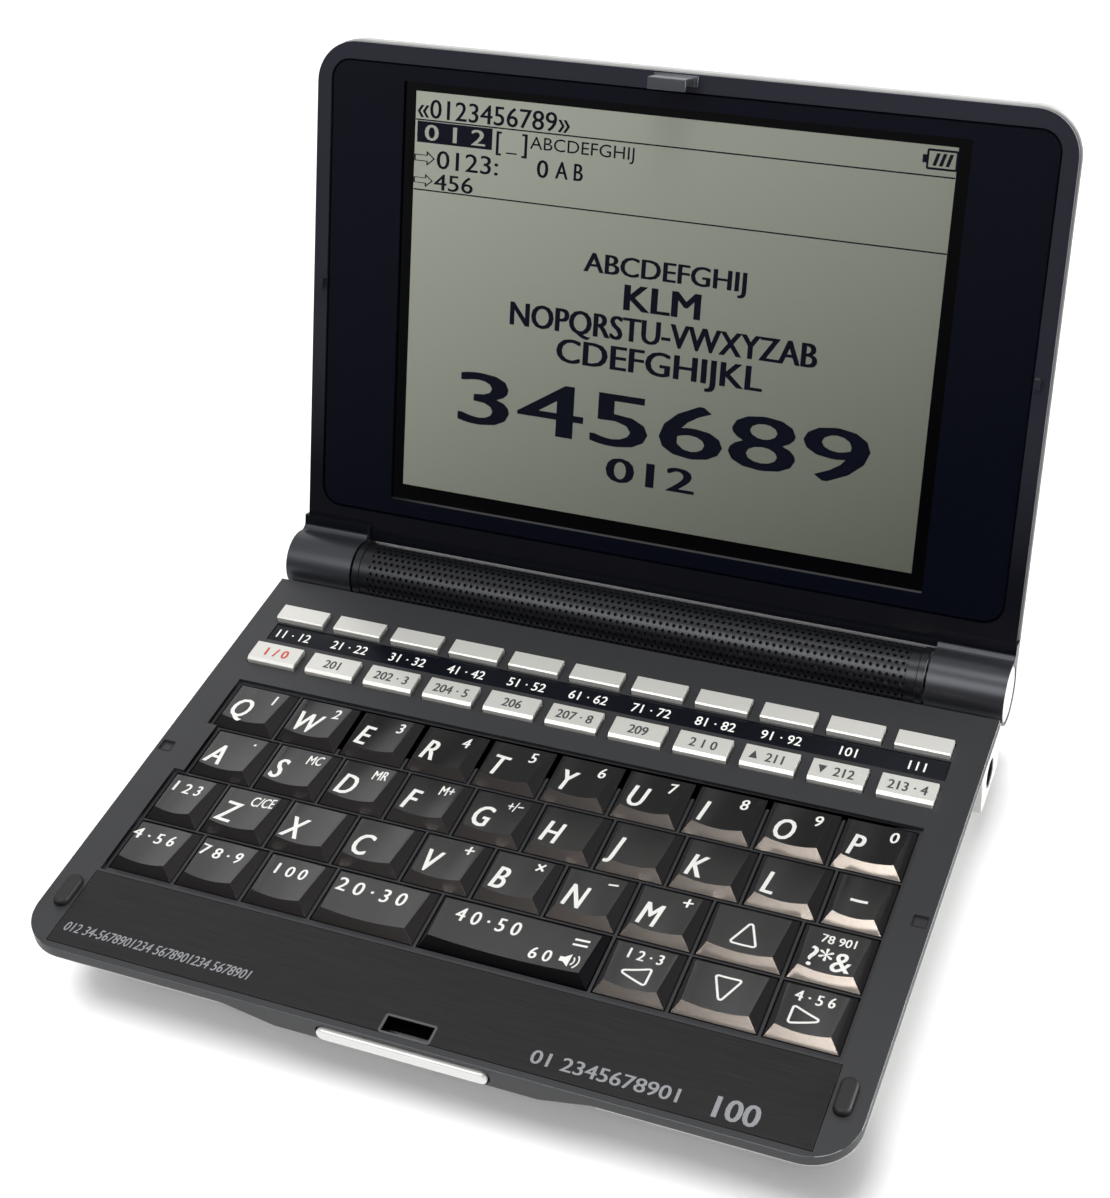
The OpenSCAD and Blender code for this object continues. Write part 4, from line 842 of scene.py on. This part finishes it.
mask_half, mask_low, mask_high = CLEAR_HALF + MASK_LAP, CLEAR_LOW - MASK_LAP, CLEAR_HIGH + MASK_LAP
mask = lid_print("display_mask", [rectangle(-mask_half, mask_low, mask_half, mask_high, MASK_T)],
                 black_mask, SCREEN_Z - MASK_DROP)
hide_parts("display_panel")
lid_print("display_picture", [rectangle(-PICTURE_HALF, PICTURE_LOW, PICTURE_HALF, PICTURE_HIGH, PICTURE_T)],
          crystal, SCREEN_Z)
screen = [
    spanned("«0123456789»", -39.9, -15.8, 72.2, 2.9, 0.05),
    rectangle(-40.2, 70.3, 40.2, 70.5), rectangle(-39.9, 67.1, -27.8, 70.2),
    spanned("[ _ ]", -27.1, -22.3, 68.7, 2.8, 0.07), spanned("ABCDEFGHIJ", -21.8, -5.7, 68.9, 1.9),
    spanned("⇨0123:", -40.2, -26.7, 64.9, 2.8, 0.04), spanned("0", -20.5, -18.8, 65.3, 2.7, 0.06),
    spanned("A B", -17.6, -13.4, 65.4, 2.6, 0.06), spanned("⇨456", -40.2, -30.6, 61.6, 2.5, 0.04),
    rectangle(-40.2, 60.0, 40.2, 60.2),
    outline(four_corners(36.2, 71.4, 40.2, 73.9), 0.3, 0.15), rectangle(35.5, 72.1, 36.1, 73.2),
    spanned("ABCDEFGHIJ", -12.3, 12.3, 52.7, 3.0, 0.12), spanned("KLM", -5.7, 5.7, 48.3, 4.0, 0.2),
    spanned("NOPQRSTU-VWXYZAB", -23.5, 23.5, 43.6, 3.7, 0.16),
    spanned("CDEFGHIJKL", -15.8, 15.8, 39.1, 3.8, 0.16),
    spanned("345689", -31.2, 32.3, 29.9, 8.4, 0.3), spanned("012", -6.8, 6.8, 22.2, 3.9, 0.2),
]
screen += [solid_shape([(36.9 + k, 71.8), (37.4 + k, 71.8), (37.9 + k, 73.5), (37.4 + k, 73.5)])
           for k in (0, 0.9, 1.8)]
lid_print("display_signs", screen, pixel_dark, SCREEN_Z + SIGN_LIFT)
lid_print("display_signs_clear", [spanned("0 1 2", -38.6, -29.0, 68.7, 2.4, 0.08)],
          crystal, SCREEN_Z + PALE_LIFT)

# Floor and light
# A white paper under the object, lit by soft lamps. The lamps are white cards seen in the gloss
# of the window, the tube and the key fronts.
FLOOR_HALF = 3
floor_mesh = bpy.data.meshes.new("floor")
floor_mesh.from_pydata([(x, y, 0) for x, y in four_corners(-FLOOR_HALF, -FLOOR_HALF, FLOOR_HALF, FLOOR_HALF)],
                       [], [(0, 1, 2, 3)])
floor = bpy.data.objects.new("floor", floor_mesh)
bpy.context.scene.collection.objects.link(floor)
floor_white = finish("white_paper_sweep", "#f2f2f2", 0.8)
tree = floor_white.node_tree
ray = add(tree, "ShaderNodeLightPath")
# The camera also sees an even glow in the paper, so that the open floor is white and only the shadow shows
PAPER_GLOW, ROOM_LIGHT = 0.05, 0.85
glow = add(tree, "ShaderNodeMath", {"operation": "MULTIPLY"},
           {0: ray.outputs["Is Camera Ray"], 1: PAPER_GLOW})
paper = add(tree, "ShaderNodeEmission", None, {"Color": (1, 1, 1, 1), "Strength": glow.outputs[0]})
both = add(tree, "ShaderNodeAddShader", None,
           {0: tree.nodes["Principled BSDF"].outputs[0], 1: paper.outputs[0]})
tree.links.new(both.outputs[0], tree.nodes["Material Output"].inputs["Surface"])
floor_mesh.materials.append(floor_white)

world = bpy.data.worlds.new("studio")
bpy.context.scene.world = world
world.use_nodes = True
tree = world.node_tree
# The room is dark at eye level and bright overhead, most of all towards the left
direction = add(tree, "ShaderNodeTexCoord")
height = add(tree, "ShaderNodeVectorMath", {"operation": "DOT_PRODUCT"},
             {0: direction.outputs["Generated"], 1: (-0.35, -0.1, 0.93)})
room = add(tree, "ShaderNodeValToRGB", None, {"Fac": height.outputs["Value"]})
for stop, position, colour in ((0, 0.24, (0.012, 0.013, 0.018, 1)), (1, 0.78, (1, 1, 1, 1))):
    room.color_ramp.elements[stop].position = position
    room.color_ramp.elements[stop].color = colour
for position, value in ((0.45, 0.16), (0.62, 0.45)):
    room.color_ramp.elements.new(position).color = (value, value, value, 1)
ground = add(tree, "ShaderNodeBackground", None, {"Color": room.outputs["Color"], "Strength": ROOM_LIGHT})
# The camera itself sees plain white
seen = tree.nodes["Background"]
seen.inputs["Color"].default_value = (1, 1, 1, 1)
seen.inputs["Strength"].default_value = 1.0
ray = add(tree, "ShaderNodeLightPath")
choice = add(tree, "ShaderNodeMixShader", None, {"Fac": ray.outputs["Is Camera Ray"]})
tree.links.new(ground.outputs[0], choice.inputs[1])
tree.links.new(seen.outputs[0], choice.inputs[2])
tree.links.new(choice.outputs[0], tree.nodes["World Output"].inputs["Surface"])


def lamp(name, place, target, width, height, power, colour="#ffffff"):
    light = bpy.data.lights.new(name, "AREA")
    light.shape = "RECTANGLE"
    light.size, light.size_y = width, height
    light.energy = power
    light.color = linear(colour)[:3]
    holder = bpy.data.objects.new(name, light)
    aim = (Vector(target) - Vector(place)).to_track_quat("-Z", "Y")
    holder.matrix_world = Matrix.Translation(place) @ aim.to_matrix().to_4x4()
    bpy.context.scene.collection.objects.link(holder)
    return holder


def linked(light, receivers, blockers=None):
    # A lamp that lights, and is shaded by, only some of the objects
    for label, members, link in (("lit", receivers, "receiver_collection"),
                                 ("shade", blockers, "blocker_collection")):
        if members is not None:
            group = bpy.data.collections.new(light.name + "_" + label)
            for member in members:
                group.objects.link(member)
            setattr(light.light_linking, link, group)


pieces = [o for o in bpy.context.scene.objects if o.type == "MESH" and o is not floor]
keys = [o for o in pieces if o.name.startswith("key_") and o.name.endswith("_body") and "enter" not in o.name]
shells = [bpy.data.objects["bottom_case_body"], bpy.data.objects["top_cover_body"]]
# The silver backs get no light from the two cards behind them, so that they keep their tone from there
backs = ("lid_back_cover_body", "bottom_case_body", "battery_cover_body")
front = [p for p in pieces if p.name not in backs]
not_keys = [p for p in pieces if not p.name.startswith("key_")]
linked(lamp("key_card", (-0.5, 0.8, 0.41), (0, 0, 0.02), 0.9, 0.6, 2.0), front)
# The middle rows see one more narrow card just over the lid's top edge
linked(lamp("back_card", (-0.2, 0.8, 0.67), (0, 0, 0.02), 0.42, 0.2, 0.42), front)
linked(lamp("side_card", (0.76, 0.26, 0.14), (0, 0, 0.03), 0.8, 0.35, 12.0), not_keys)
linked(lamp("fill_card", (-0.2, -0.65, 0.8), (0, 0, 0.04), 0.5, 0.5, 4.5), pieces)
linked(lamp("top_card", (0.05, 0.05, 1.0), (0, 0, 0.02), 0.35, 0.35, 2.6), pieces)
# The key fronts see a small warm card in front of the object. The enter key doesn't
linked(lamp("front_card", (0.07, -0.45, 0.12), (0.02, 0, 0.02), 0.2, 0.12, 6.4, "#fff0e2"), keys, [floor])
# A soft sun on the paper alone gives the base its short shadow
sun = bpy.data.objects.new("paper_sun", bpy.data.lights.new("paper_sun", "SUN"))
sun.data.energy = 2.9
sun.data.angle = math.radians(32)
sun.rotation_euler = Vector((-0.14, -0.12, 1.0)).to_track_quat("Z", "Y").to_euler()
bpy.context.scene.collection.objects.link(sun)
linked(sun, [floor], shells)

# Camera
# Placed so that the deck's corners, the keys and the lid fall on those in the photo.
# It has a long lens and a small shift.
camera_data = bpy.data.cameras.new("camera")
camera_data.sensor_fit = "HORIZONTAL"
camera_data.sensor_width = 36
camera_data.lens = 68.48
camera_data.shift_x = -0.0105
camera_data.shift_y = -0.0776
camera_data.clip_start = 0.01
camera_data.clip_end = 20
camera = bpy.data.objects.new("camera", camera_data)
camera.location = (0.09637, -0.1966, 0.21994)
camera.rotation_euler = [math.radians(a) for a in (52.165, 4.994, 21.770)]
bpy.context.scene.collection.objects.link(camera)
bpy.context.scene.camera = camera
bpy.context.scene.view_settings.view_transform = "Standard"
